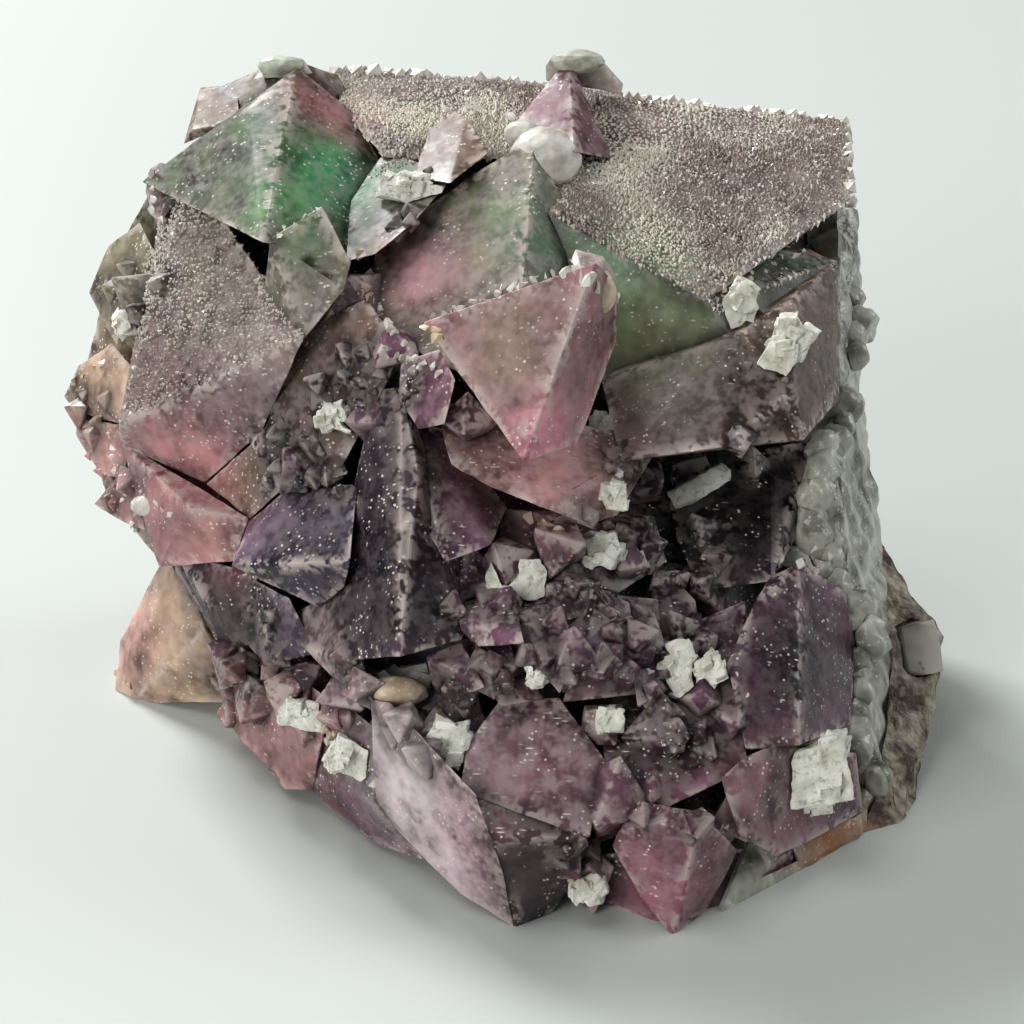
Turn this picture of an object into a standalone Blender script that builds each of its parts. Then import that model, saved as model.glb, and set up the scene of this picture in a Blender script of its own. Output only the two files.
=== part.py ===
"""Fluorite octahedra grown together over a pale layer on a piece of rock. Metres, +Z up, it stands on z = 0."""
import itertools
import math
import random

import bmesh
import bpy
import numpy as np
from mathutils import Matrix, Vector
from mathutils.bvhtree import BVHTree

MM = 0.001

# Driving sizes
CLUSTER_WIDTH = 0.100       # from the leftmost crystal to the rock's right side
VIEW_WIDTH = 875.0          # the same width in the units of the front view
VIEW_MIDDLE = 512.0         # the front view's middle, across and down
VIEW_LEAN = math.radians(27.0)
VIEW_DISTANCE = 0.230
FLOOR_DROP = 0.032          # the floor lies this far below the view's middle
GAP = 0.0003                # clearance between neighbouring pieces
TOUCH = 0.00002

UNIT = CLUSTER_WIDTH / VIEW_WIDTH
RIGHT = Vector((1.0, 0.0, 0.0))
UPWARD = Vector((0.0, math.sin(VIEW_LEAN), math.cos(VIEW_LEAN)))
NEARER = Vector((0.0, -math.cos(VIEW_LEAN), math.sin(VIEW_LEAN)))
EYE = NEARER * VIEW_DISTANCE + Vector((0.0, 0.0, FLOOR_DROP))


def seen(across, down, forward):
    """The point that the front view shows there, so many millimetres nearer than the view's middle."""
    near = forward * MM
    scale = UNIT * (VIEW_DISTANCE - near) / VIEW_DISTANCE
    flat = RIGHT * (across - VIEW_MIDDLE) * scale + UPWARD * (VIEW_MIDDLE - down) * scale
    return flat + NEARER * near + Vector((0.0, 0.0, FLOOR_DROP))


def hidden(x, y, z):
    """A point out of the front view's sight, in millimetres from the middle of the floor."""
    return Vector((x * MM, y * MM, z * MM))


def grown_from(root, *corners):
    """Corners of a crystal whose seen corners are given and whose hidden one lies at depth root."""
    across = sum(corner[0] for corner in corners) / len(corners)
    down = sum(corner[1] for corner in corners) / len(corners)
    return [seen(*corner) for corner in corners] + [seen(across, down, root)]


def octahedron(centre, edge, turn):
    """The six corners of a regular octahedron, turned by three angles in degrees."""
    arm = edge * MM / math.sqrt(2.0)
    turned = Matrix.Rotation(math.radians(turn[2]), 3, "Z")
    turned = turned @ Matrix.Rotation(math.radians(turn[1]), 3, "Y")
    turned = turned @ Matrix.Rotation(math.radians(turn[0]), 3, "X")
    return [centre + turned @ (axis * arm * side)
            for axis in (Vector((1, 0, 0)), Vector((0, 1, 0)), Vector((0, 0, 1))) for side in (1, -1)]


def top_left_crystals():
    """The green crystal, the big dusty one below it and the small tips down the left side."""
    return {
        "green_peak": grown_from(-22, (297, 66, -8), (262, 243, 9), (140, 182, -10), (250, 105, -5), (362, 118, -10),
                                 (405, 222, -4), (345, 252, 4)),
        "green_peak_cap": grown_from(-20, (252, 80, -10), (262, 64, -12), (290, 57, -10), (303, 58, -9), (314, 74, -8)),
        "back_block": grown_from(-28, (200, 87, -18), (238, 84, -16), (191, 130, -10), (183, 145, -12), (240, 120, -8)),
        "crest": grown_from(-26, (192, 128, -14), (207, 92, -18), (262, 68, -14), (303, 62, -11), (338, 74, -14),
                            (360, 112, -14), (250, 150, -9)),
        "left_mass": grown_from(-34, (162, 168, -14), (112, 258, -20), (84, 372, -24), (86, 432, -24),
                                (108, 500, -19), (158, 560, -18), (240, 130, -16)),
        "green_foot": grown_from(-14, (270, 238, 8), (322, 205, 8), (352, 262, 10), (345, 290, 10), (300, 345, 8),
                                 (262, 300, 4)),
        "left_shoulder": grown_from(-24, (192, 172, -4), (158, 225, -9), (118, 425, -5), (305, 338, 9), (205, 484, -7),
                                    (262, 433, 1), (120, 445, -9)),
        "left_lower": grown_from(-20, (120, 440, -11), (135, 490, -11), (158, 568, -8), (235, 562, -1), (250, 518, 1),
                                 (190, 508, 0)),
        "left_inner_wall": grown_from(-18, (205, 484, -6), (262, 433, 1), (280, 492, 4), (250, 520, 0)),
        "left_upper_tip": grown_from(-20, (150, 168, -10), (160, 162, -10), (172, 185, -6), (144, 192, -10),
                                     (158, 228, -6), (200, 170, -6)),
        "left_olive": grown_from(-26, (88, 293, -18), (101, 262, -16), (108, 245, -16), (140, 221, -12),
                                 (160, 262, -7), (157, 292, -8), (115, 345, -12)),
        "left_cream": grown_from(-28, (63, 397, -22), (78, 365, -20), (112, 342, -16), (135, 370, -10),
                                 (120, 425, -12), (75, 412, -20)),
        "left_rose": grown_from(-26, (77, 418, -20), (75, 435, -20), (100, 475, -16), (125, 480, -12), (130, 425, -10)),
        "left_low_tip": grown_from(-24, (93, 504, -18), (120, 472, -13), (135, 480, -11), (146, 532, -9),
                                   (118, 520, -14)),
        "back_foot": grown_from(-38, (158, 566, -20), (120, 640, -27), (114, 690, -26), (130, 704, -25),
                                (232, 703, -18), (240, 678, -15), (205, 630, -13), (185, 562, -14)),
    }


def top_crystals():
    """The dusted slope along the skyline, the peak on it and the big dusted crown at the right."""
    return {
        "top_slope": grown_from(-27, (333, 68, -18), (545, 84, -22), (625, 93, -19), (540, 160, -4), (420, 140, -5),
                                (384, 158, -4), (340, 110, -10)),
        "top_peak": grown_from(-22, (570, 54, -10), (505, 134, -4), (575, 152, 2), (614, 160, -6)),
        "top_peak_cap": grown_from(-19, (545, 82, -12), (545, 66, -12), (553, 54, -11), (578, 49, -10), (602, 58, -11),
                                   (624, 84, -13), (622, 94, -12)),
        "top_brown": grown_from(-14, (455, 110, -7), (428, 130, -5), (413, 178, 1), (450, 184, 5), (490, 152, 1),
                                (466, 116, -4)),
        "saddle": grown_from(-16, (385, 150, -6), (455, 175, 1), (415, 222, 7), (375, 255, 8), (345, 262, 6),
                             (350, 200, 0)),
        "right_crown": grown_from(-27, (533, 203, 4), (600, 94, -15), (846, 120, -21), (851, 202, -11), (776, 240, -1),
                                  (705, 303, 9)),
        "right_under": grown_from(-20, (533, 203, 4), (705, 303, 9), (735, 340, 7), (690, 372, 6), (600, 382, 3),
                                  (527, 275, -2), (840, 260, -7)),
        "right_brown": grown_from(-22, (600, 378, 5), (735, 335, 9), (790, 300, 4), (842, 255, -8), (840, 400, -2),
                                  (805, 440, 10), (720, 448, 15), (620, 462, 13), (795, 392, 11)),
    }


def centre_crystals():
    """The pale green crystal, the pink one in front of it and the brown ledge below."""
    return {
        "centre_green": grown_from(-14, (535, 137, 2), (470, 175, 1.4), (415, 215, 1.3), (375, 250, 1.6), (364, 298, 4),
                                   (402, 345, 8.6), (440, 358, 11.2), (512, 400, 17), (527, 270, 9.7), (575, 226, 2),
                                   (572, 330, 4)),
        "centre_pink": grown_from(2, (422, 322, 20), (596, 262, 27), (523, 463, 27), (618, 284, 20), (617, 342, 18),
                                  (592, 410, 20), (577, 445, 21)),
        "centre_pink_cap": grown_from(12, (570, 262, 23), (575, 248, 22), (605, 256, 22), (619, 282, 21), (611, 298, 22),
                                      (588, 286, 27)),
        "brown_mid": grown_from(-12, (300, 330, 4), (365, 298, 8), (405, 345, 11), (380, 398, 11), (318, 440, 8),
                                (262, 433, 3), (340, 472, 8)),
        "crusted": grown_from(2, (400, 362, 12), (440, 348, 16), (456, 380, 19), (445, 425, 18), (418, 430, 16),
                              (398, 400, 13)),
        "ledge": grown_from(-6, (432, 400, 11), (450, 465, 17), (490, 487, 19), (540, 507, 20), (590, 525, 18),
                            (618, 516, 13), (622, 470, 13), (664, 438, 9)),
    }


def middle_crystals():
    """The tall dark crystal, the blue one at its left and the small ones across the middle."""
    return {
        "pillar": grown_from(-12, (372, 390, 10), (402, 385, 12), (355, 480, 9), (340, 600, 10), (333, 662, 12),
                             (400, 657, 20), (462, 640, 16), (482, 602, 11), (447, 565, 14), (418, 470, 15)),
        "pillar_right": grown_from(-2, (412, 420, 10), (420, 520, 14), (445, 563, 18), (492, 546, 16), (508, 508, 10),
                                   (450, 430, 9)),
        "blue_left": grown_from(-14, (278, 496, 4), (248, 522, 2), (230, 566, 6), (350, 563, 15), (358, 485, 10),
                                (300, 478, 5), (345, 588, 12), (318, 608, 8)),
        "spine_left": grown_from(-12, (262, 452, 2), (280, 496, 7), (348, 474, 9), (335, 420, 5), (258, 428, 1)),
        "grey_under": grown_from(-8, (294, 612, 3), (345, 586, 10), (338, 660, 14), (330, 676, 12), (300, 645, 6),
                                 (374, 703, 16)),
        "dark_block": grown_from(-24, (180, 562, -10), (205, 560, -7), (257, 572, 0), (262, 644, 0), (220, 650, -7),
                                 (205, 600, -5)),
        "blue_fang": grown_from(-14, (256, 580, 0), (290, 598, 5), (318, 654, 7), (265, 666, 2), (243, 640, -4)),
        "narrow": grown_from(2, (472, 622, 12), (548, 700, 16), (500, 707, 19), (476, 665, 15)),
        "small_wedge": grown_from(2, (426, 656, 14), (462, 640, 14), (486, 688, 19), (436, 704, 13)),
        "lilac_face": grown_from(2, (440, 610, 14), (500, 590, 13), (516, 600, 16), (525, 644, 21), (478, 648, 17)),
        "middle_a": grown_from(0, (508, 598, 13), (583, 560, 9), (604, 592, 14), (560, 695, 20), (518, 646, 17)),
        "middle_b": grown_from(0, (598, 588, 13), (630, 602, 12), (644, 695, 16), (562, 703, 18), (585, 640, 19)),
        "middle_c": grown_from(-2, (616, 594, 11), (658, 598, 9), (670, 690, 14), (638, 708, 18)),
        "middle_d": grown_from(-8, (655, 556, 2), (696, 600, 7), (704, 654, 11), (660, 690, 14), (648, 620, 10)),
        "middle_e": grown_from(-6, (745, 600, 7), (692, 622, 7), (688, 692, 13), (740, 708, 14), (754, 650, 9)),
        "bridge": grown_from(-8, (498, 508, 9), (600, 522, 8), (655, 515, 2), (668, 562, 4), (600, 606, 13),
                             (503, 606, 12)),
        "hollow_crystal": grown_from(-18, (668, 500, -2), (770, 446, -4), (814, 440, -6), (818, 500, -6),
                                     (772, 582, 4), (700, 592, 4), (676, 540, 2)),
    }


def low_crystals():
    """The lower left mass, the grey blade, the dark corner and the tips that stand on the floor."""
    return {
        "low_left_back": grown_from(-26, (218, 683, -13), (222, 715, -12), (242, 742, -9), (285, 790, -4),
                                    (314, 791, -1), (332, 700, 7), (260, 648, -4), (320, 748, 5)),
        "low_left_front": grown_from(-16, (312, 790, -1), (335, 813, 0), (380, 846, 5), (424, 861, 9), (384, 735, 12),
                                     (330, 690, 8), (372, 800, 11)),
        "blade": grown_from(-2, (370, 698, 15), (372, 760, 13), (376, 802, 11), (398, 832, 11), (460, 894, 14),
                            (515, 929, 16), (503, 870, 21), (476, 794, 23), (440, 776, 20), (390, 702, 17)),
        "low_dark": grown_from(-4, (475, 794, 20), (522, 802, 20), (588, 838, 21), (592, 852, 16), (562, 896, 13),
                               (545, 926, 13), (515, 929, 16), (490, 840, 22)),
        "cracked": grown_from(0, (500, 698, 15), (466, 745, 17.5), (459, 792, 20), (520, 804, 20.4), (562, 816, 20.9),
                               (590, 839, 22), (606, 760, 17.8), (560, 697, 14.7)),
        "low_middle": grown_from(-4, (600, 708, 14), (737, 698, 13), (750, 768, 16), (640, 822, 19), (604, 770, 18)),
        "right_purple": grown_from(-12, (770, 576, 8), (800, 562, 8), (846, 590, 2), (755, 600, 11), (726, 664, 13),
                                   (745, 750, 17), (800, 746, 15), (852, 725, 3), (856, 640, 0)),
        "right_foot": grown_from(-6, (720, 778, 18), (745, 756, 17), (775, 744, 16), (857, 752, 4), (864, 812, 2),
                                 (800, 847, 12), (775, 857, 15), (738, 834, 19)),
        "front_tip": grown_from(0, (617, 832, 20), (611, 846, 19), (640, 897, 17), (673, 939, 17), (692, 932, 14),
                                (723, 882, 14), (739, 850, 16), (702, 812, 24), (640, 800, 19)),
        "front_tip_left": grown_from(-2, (563, 886, 11), (596, 856, 16), (645, 846, 18), (668, 936, 15),
                                     (600, 914, 11)),
        "low_filler": grown_from(-12, (700, 850, 12), (792, 850, 9), (800, 872, 6), (748, 903, 10), (700, 925, 14),
                                 (600, 890, 8)),
    }


def hidden_crystals():
    """Crystals on the left side, the top and the far side that the front view doesn't show."""
    return {
        "left_side_a": octahedron(hidden(-38, 22, 46), 17, (20, 35, 10)),
        "left_side_b": octahedron(hidden(-38, 26, 28), 18, (35, 10, 60)),
        "left_side_c": octahedron(hidden(-36, 17, 22), 15, (10, 50, 30)),
        "left_side_d": octahedron(hidden(-33, 30, 12), 15, (40, 20, 15)),
        "left_side_e": octahedron(hidden(-38, 24, 38), 13, (15, 15, 75)),
        "left_side_f": octahedron(hidden(-28, 8, 9), 14, (55, 30, 20)),
        "left_top_a": octahedron(hidden(-30, 36, 60), 17, (30, 15, 40)),
        "back_top_a": octahedron(hidden(-12, 38, 60), 18, (15, 40, 20)),
        "back_top_b": octahedron(hidden(6, 38, 57), 15, (45, 15, 65)),
        "back_top_c": octahedron(hidden(22, 34, 56), 18, (20, 25, 50)),
        "back_top_d": octahedron(hidden(-22, 40, 46), 16, (60, 5, 35)),
        "right_top_a": octahedron(hidden(33, 26, 48), 14, (35, 35, 5)),
        "under_a": octahedron(hidden(-10, -12, 10), 13, (25, 30, 45)),
        "under_b": octahedron(hidden(14, -16, 9), 14, (50, 20, 10)),
    }


SIDE_COUNT = 30

# Small crystals in the crevices: across, down, forward of the middle and edge in millimetres
CREVICES = (
    (352, 300, 4, 7), (330, 395, 5, 6), (300, 462, 5, 5), (372, 420, 9, 5), (395, 350, 10, 5), (468, 420, 14, 5),
    (640, 478, 0, 6), (625, 545, 6, 6), (690, 480, -4, 6), (700, 590, 2, 6), (505, 560, 12, 5), (560, 545, 12, 6),
    (470, 580, 10, 7), (500, 665, 15, 5), (452, 720, 12, 8), (410, 720, 11, 7), (420, 760, 11, 6), (350, 690, 8, 6),
    (300, 690, 1, 7), (260, 700, -5, 6), (700, 700, 12, 6), (660, 735, 15, 7), (610, 800, 17, 8), (600, 725, 15, 5),
    (745, 815, 14, 6), (585, 870, 14, 7), (735, 720, 13, 6),
    (560, 620, 14, 5), (640, 640, 13, 5), (545, 655, 16, 5), (235, 660, -6, 6), (285, 560, 3, 5),
)


def crevice_crystals():
    draw = random.Random(11)
    return {f"crevice_{n}": octahedron(seen(across, down, forward), edge, [draw.uniform(0, 90) for _ in range(3)])
            for n, (across, down, forward, edge) in enumerate(CREVICES)}


def side_crystals(tree):
    """Crystals over the left side, the top and the back, each one out of the front view's sight."""
    draw = random.Random(5)
    found = {}
    while len(found) < SIDE_COUNT:
        around = math.radians(draw.uniform(170, 290))
        rise = math.radians(draw.uniform(-5, 65))
        outward = Vector((math.sin(around) * math.cos(rise), -math.cos(around) * math.cos(rise), math.sin(rise)))
        aim = hidden(draw.uniform(-24, 30), draw.uniform(0, 26), draw.uniform(10, 58))
        edge = draw.uniform(6.5, 11)
        turn = [draw.uniform(0, 90) for _ in range(3)]
        place = tree.ray_cast(aim + outward * 0.2, -outward)[0]
        if place is None or not (place.x < -0.024 or place.z > 0.048):
            continue
        corners = octahedron(place - outward * edge * MM * 0.15, edge, turn)
        unseen = [tree.ray_cast(EYE, (corner - EYE).normalized(), (corner - EYE).length - 0.001)[0] for corner in corners]
        if all(unseen) and min(corner.z for corner in corners) > 0.001:
            found[f"side_{len(found)}"] = corners
    return found


def core():
    """The solid fluorite behind the crystals, in three blocks that leave the dark hollow open."""
    back = [hidden(-32, 23, 9), hidden(33, 15, 9), hidden(34, 32, 52), hidden(-30, 36, 56), hidden(-37, 30, 28)]
    front = [seen(*corner) for corner in (
        (215, 140, -14), (330, 100, -18), (560, 125, -19), (590, 300, -8), (585, 460, -2), (600, 600, 3),
        (700, 720, 6), (815, 740, -2), (720, 850, 2), (560, 880, 4), (420, 830, 3), (300, 760, -7), (245, 700, -13),
        (165, 555, -15), (132, 430, -17), (145, 260, -17), (450, 400, 3), (480, 640, 8), (380, 640, 6))]
    crown = [seen(*corner) for corner in (
        (560, 125, -21), (815, 150, -25), (828, 300, -14), (815, 420, -6), (650, 425, 0), (590, 300, -4))]
    foot = [seen(*corner) for corner in (
        (640, 610, 2), (830, 600, -6), (840, 740, -3), (840, 800, -2), (720, 850, 2))]
    return {"core": front + back,
            "core_crown": crown + [hidden(34, 32, 52), hidden(20, 20, 40), hidden(34, 16, 34)],
            "core_foot": foot + [hidden(33, 15, 9), hidden(20, 8, 8), hidden(30, 12, 24)]}


def pale_layer_blocks():
    """The pale layer under the crystals: the broken edge at the right and the sheet behind."""
    edge_top = [seen(*corner) for corner in (
        (838, 205, -16), (856, 212, -19), (842, 250, -16), (842, 300, -14), (853, 325, -18), (848, 345, -16),
        (838, 420, -4), (861, 400, -16))] + [hidden(30, 34, 50), hidden(30, 26, 30)]
    edge_middle = [seen(*corner) for corner in (
        (838, 405, -5), (818, 460, -3), (800, 490, -2), (800, 535, -1), (835, 575, 0), (848, 602, 0),
        (866, 460, -15), (877, 500, -14), (884, 580, -12), (860, 395, -16))] + [hidden(26, 24, 30), hidden(26, 16, 16)]
    edge_low = [seen(*corner) for corner in (
        (848, 590, 0), (853, 640, 0), (850, 720, 1), (860, 800, 2), (884, 580, -12), (892, 700, -9), (886, 800, -4),
        (850, 842, 3), (785, 880, 8), (720, 915, 14), (780, 850, 10))] + [hidden(24, 12, 14), hidden(14, -8, 1)]
    sheet = [hidden(41, 4, 4), hidden(41, 10, 20), hidden(38, 24, 44), hidden(36, 38, 52), hidden(36, 20, 6),
             hidden(-35, 30, 7), hidden(-38, 36, 28), hidden(-31, 42, 54), hidden(-22, 12, 5), hidden(0, 20, 54)]
    return {"edge_top": edge_top, "edge_middle": edge_middle, "edge_low": edge_low, "sheet": sheet}


def rock_blocks():
    """The brown rock behind, with its lump at the lower right and its flat underside."""
    lump = [seen(*corner) for corner in (
        (878, 572, -14), (902, 602, -15), (934, 621, -16), (943, 637, -16), (940, 661, -15), (934, 716, -12),
        (914, 808, -4), (900, 834, 0), (855, 845, 2), (850, 600, -12))]
    lump += [hidden(46, 24, 8), hidden(42, 26, 22), hidden(34, 22, 0), hidden(36, -10, 0)]
    slab = [hidden(45, 30, 0), hidden(46, 34, 24), hidden(40, 38, 40), hidden(16, 40, 47), hidden(-20, 44, 42),
            hidden(-38, 40, 26), hidden(-40, 36, 0), hidden(0, 38, 0), hidden(34, -10, 0), hidden(-28, 6, 0),
            hidden(0, -12, 0), hidden(10, 40, 20)]
    return {"lump": lump, "slab": slab}


# Pale grains: across, down, width, height and depth in millimetres, and the turn in degrees
GRAINS = {
    "a": (338, 418, 4.0, 2.5, 2.6, -18), "b": (603, 427, 3.2, 2.9, 2.2, 8), "c": (700, 486, 7.0, 2.4, 2.8, 30),
    "d": (599, 551, 4.6, 3.3, 3.0, 15), "e": (637, 562, 1.8, 2.6, 1.8, 8), "f": (518, 578, 6.6, 4.6, 4.2, -4),
    "g": (678, 668, 3.0, 6.0, 3.0, 6), "h": (609, 720, 2.9, 2.5, 2.4, 0), "i": (538, 672, 2.3, 2.6, 2.0, 20),
    "j": (402, 683, 6.6, 3.6, 4.0, 12), "k": (448, 742, 4.6, 4.2, 3.4, -25), "l": (310, 714, 6.6, 3.2, 3.0, -12),
    "m": (352, 758, 5.4, 3.6, 3.2, -30), "n": (810, 774, 8.2, 6.6, 5.0, 10), "o": (722, 832, 5.6, 4.2, 3.4, 35),
    "p": (735, 309, 3.0, 6.4, 2.2, -28), "q": (780, 356, 3.6, 8.0, 2.8, -35), "r": (804, 560, 6.2, 2.4, 2.6, -12),
    "s": (412, 192, 7.4, 3.0, 3.0, -14), "t": (545, 158, 7.4, 6.0, 4.4, 38), "u": (708, 672, 3.6, 3.0, 2.4, 25),
    "v": (614, 497, 2.6, 2.8, 2.4, 0), "w": (588, 886, 3.2, 2.6, 2.4, 30), "x": (129, 323, 2.8, 3.2, 2.8, 0),
}
PEBBLE = (919, 648, 4.3, 5.9, 4.4, 8)


def lump(across, down, width, height, depth, turn, forward, seed):
    """Corners of a chipped grain with its middle at that place and depth of the front view."""
    draw = random.Random(seed)
    middle = seen(across, down, forward)
    lean = math.radians(turn)
    corners = []
    for x, y, z in itertools.product((-1, 0, 1), repeat=3):
        if abs(x) + abs(y) + abs(z) < 2:
            continue
        reach = (1.0 if abs(x) + abs(y) + abs(z) == 3 else 1.12) * draw.uniform(0.78, 0.98)
        flat = Vector((x * width, y * height)) * 0.5 * reach
        right = flat.x * math.cos(lean) - flat.y * math.sin(lean)
        up = flat.x * math.sin(lean) + flat.y * math.cos(lean)
        corners.append(middle + (RIGHT * right + UPWARD * up + NEARER * z * depth * 0.5 * reach) * MM)
    return corners


def faces_of(corners):
    """The outward directions and offsets of the planes around a convex solid."""
    points = np.array([tuple(corner) for corner in corners])
    found = {}
    for i, j, k in itertools.combinations(range(len(points)), 3):
        normal = np.cross(points[j] - points[i], points[k] - points[i])
        length = np.linalg.norm(normal)
        if length < 1e-10:
            continue
        normal /= length
        if normal @ (points.mean(0) - points[i]) > 0:
            normal = -normal
        if (points @ normal - normal @ points[i]).max() < 1e-8:
            found[tuple(np.round(normal, 4))] = (normal, normal @ points[i])
    return np.array([n for n, d in found.values()]), np.array([d for n, d in found.values()])


def widened(corners, gap):
    """The same convex solid with every face moved out by gap."""
    normals, offsets = faces_of(corners)
    offsets = offsets + gap
    triples = np.array(list(itertools.combinations(range(len(normals)), 3)))
    sides = normals[triples]
    good = np.abs(np.linalg.det(sides)) > 1e-3
    points = np.linalg.solve(sides[good], offsets[triples[good]][..., None])[..., 0]
    inside = (points @ normals.T - offsets).max(axis=1) < 1e-8
    return [Vector(point) for point in points[inside]]


def hull_object(name, corners):
    """A closed convex object through the corners."""
    shape = bmesh.new()
    for corner in corners:
        shape.verts.new(corner)
    bmesh.ops.remove_doubles(shape, verts=shape.verts, dist=TOUCH)
    made = bmesh.ops.convex_hull(shape, input=shape.verts)
    spare = {item for key in ("geom_interior", "geom_unused") for item in made[key]}
    bmesh.ops.delete(shape, geom=[v for v in spare if isinstance(v, bmesh.types.BMVert)], context="VERTS")
    bmesh.ops.dissolve_limit(shape, angle_limit=math.radians(0.5), verts=shape.verts, edges=shape.edges)
    bmesh.ops.recalc_face_normals(shape, faces=shape.faces)
    mesh = bpy.data.meshes.new(name)
    shape.to_mesh(mesh)
    shape.free()
    thing = bpy.data.objects.new(name, mesh)
    bpy.context.scene.collection.objects.link(thing)
    return thing


def combine(target, others, operation):
    """The target's mesh joined with, or cut by, the others, which are used up."""
    group = bpy.data.collections.new("others")
    bpy.context.scene.collection.children.link(group)
    for other in others:
        group.objects.link(other)
    change = target.modifiers.new(operation.lower(), "BOOLEAN")
    change.operation = operation
    change.operand_type = "COLLECTION"
    change.collection = group
    change.solver = "EXACT"
    graph = bpy.context.evaluated_depsgraph_get()
    mesh = bpy.data.meshes.new_from_object(target.evaluated_get(graph))
    target.modifiers.remove(change)
    target.data = mesh
    for other in others:
        bpy.data.objects.remove(other)
    bpy.data.collections.remove(group)


def outer_shell(thing):
    """Keeps the largest shell of a mesh, which leaves out loose chips and sealed hollows."""
    shape = bmesh.new()
    shape.from_mesh(thing.data)
    bmesh.ops.remove_doubles(shape, verts=shape.verts, dist=TOUCH)
    bmesh.ops.dissolve_degenerate(shape, edges=shape.edges, dist=TOUCH)
    waiting = set(shape.faces)
    shells = []
    while waiting:
        front = [waiting.pop()]
        shell = set(front)
        while front:
            for edge in front.pop().edges:
                for face in edge.link_faces:
                    if face in waiting:
                        waiting.discard(face)
                        shell.add(face)
                        front.append(face)
        shells.append(shell)
    kept = max(shells, key=lambda shell: sum(face.calc_area() for face in shell))
    bmesh.ops.delete(shape, geom=[face for face in shape.faces if face not in kept], context="FACES")
    bmesh.ops.triangulate(shape, faces=shape.faces)
    bmesh.ops.recalc_face_normals(shape, faces=shape.faces)
    shape.to_mesh(thing.data)
    shape.free()


def floor_cutter():
    corners = [Vector((x, y, z)) for x in (-0.09, 0.09) for y in (-0.09, 0.09) for z in (-0.05, 0.0)]
    return hull_object("floor_cutter", corners)


def material(name, colour, roughness):
    made = bpy.data.materials.new(name)
    made.use_nodes = True
    shader = made.node_tree.nodes["Principled BSDF"]
    shader.inputs["Base Color"].default_value = (*colour, 1.0)
    shader.inputs["Roughness"].default_value = roughness
    shader.inputs["Metallic"].default_value = 0.0
    return made


def fused(name, blocks, surface):
    """One solid from overlapping convex blocks, cut flat where it stands on the floor."""
    things = [hull_object(f"{name}_{key}", corners) for key, corners in blocks.items()]
    target = things[0]
    target.name = name
    if things[1:]:
        combine(target, things[1:], "UNION")
    combine(target, [floor_cutter()], "DIFFERENCE")
    outer_shell(target)
    target.data.materials.clear()
    target.data.materials.append(surface)
    return target


def cleared(thing, blocks):
    """Cuts a piece back from its neighbours' blocks, so that the gap stays between them."""
    low = [min(corner[i] for corner in (v.co for v in thing.data.vertices)) - 2 * GAP for i in range(3)]
    high = [max(corner[i] for corner in (v.co for v in thing.data.vertices)) + 2 * GAP for i in range(3)]
    cutters = []
    for key, corners in blocks.items():
        if all(min(c[i] for c in corners) < high[i] and max(c[i] for c in corners) > low[i] for i in range(3)):
            cutters.append(hull_object(f"cutter_{key}", widened(corners, GAP)))
    surface = thing.data.materials[0]
    if cutters:
        combine(thing, cutters, "DIFFERENCE")
        outer_shell(thing)
    thing.data.materials.clear()
    thing.data.materials.append(surface)


def depth_at(tree, across, down):
    """How far forward the surface stands at that place of the front view, in millimetres."""
    away = (seen(across, down, 0) - EYE).normalized()
    hit = tree.ray_cast(EYE, away)[0]
    return (hit - Vector((0.0, 0.0, FLOOR_DROP))).dot(NEARER) / MM


def surface_tree(things):
    points, polygons = [], []
    for thing in things:
        first = len(points)
        points += [v.co.copy() for v in thing.data.vertices]
        polygons += [[first + v for v in polygon.vertices] for polygon in thing.data.polygons]
    return BVHTree.FromPolygons(points, polygons)


def centred(things):
    """Moves everything so that the middle of its box stands over the origin."""
    points = np.array([v.co for thing in things for v in thing.data.vertices])
    low, high = points.min(0), points.max(0)
    shift = Matrix.Translation((-(low[0] + high[0]) / 2, -(low[1] + high[1]) / 2, -low[2]))
    for thing in things:
        thing.data.transform(shift)


def build():
    for thing in list(bpy.data.objects):
        bpy.data.objects.remove(thing)
    fluorite = material("fluorite", (0.16, 0.09, 0.13), 0.35)
    pale = material("pale_layer", (0.36, 0.38, 0.34), 0.5)
    stone = material("rock", (0.16, 0.12, 0.09), 0.9)
    quartz = material("quartz", (0.55, 0.53, 0.48), 0.3)
    calcite = material("calcite", (0.72, 0.70, 0.62), 0.6)

    crystals = {**core(), **top_left_crystals(), **top_crystals(), **centre_crystals(), **middle_crystals(),
                **low_crystals(), **hidden_crystals(), **crevice_crystals()}
    draft = fused("draft", crystals, fluorite)
    crystals.update(side_crystals(surface_tree([draft])))
    bpy.data.objects.remove(draft)
    cluster = fused("fluorite_cluster", crystals, fluorite)

    layer_blocks = pale_layer_blocks()
    layer = fused("pale_layer", layer_blocks, pale)
    cleared(layer, crystals)

    rock = fused("host_rock", rock_blocks(), stone)
    cleared(rock, {**crystals, **layer_blocks})

    things = [cluster, layer, rock]
    tree = surface_tree(things)
    grains = {}
    pieces = [(f"calcite_grain_{key}", place, calcite) for key, place in GRAINS.items()]
    pieces.append(("quartz_pebble", PEBBLE, quartz))
    for number, (name, place, surface) in enumerate(pieces):
        corners = lump(*place, depth_at(tree, place[0], place[1]) + place[4] * 0.15, number)
        grain = fused(name, {"body": corners}, surface)
        if surface == quartz:
            cleared(rock, {name: corners})
        else:
            cleared(grain, {**crystals, **layer_blocks, **grains})
            grains[name] = corners
        things.append(grain)
    centred(things)


build()
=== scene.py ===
"""Looks of the fluorite cluster: detailed crystals, dusted faces, grains, pale layer, rock, light and camera."""

import math
import random

import bmesh
import bpy
import numpy as np
from mathutils import Matrix, Vector, noise
from mathutils.bvhtree import BVHTree
from mathutils.kdtree import KDTree


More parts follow.
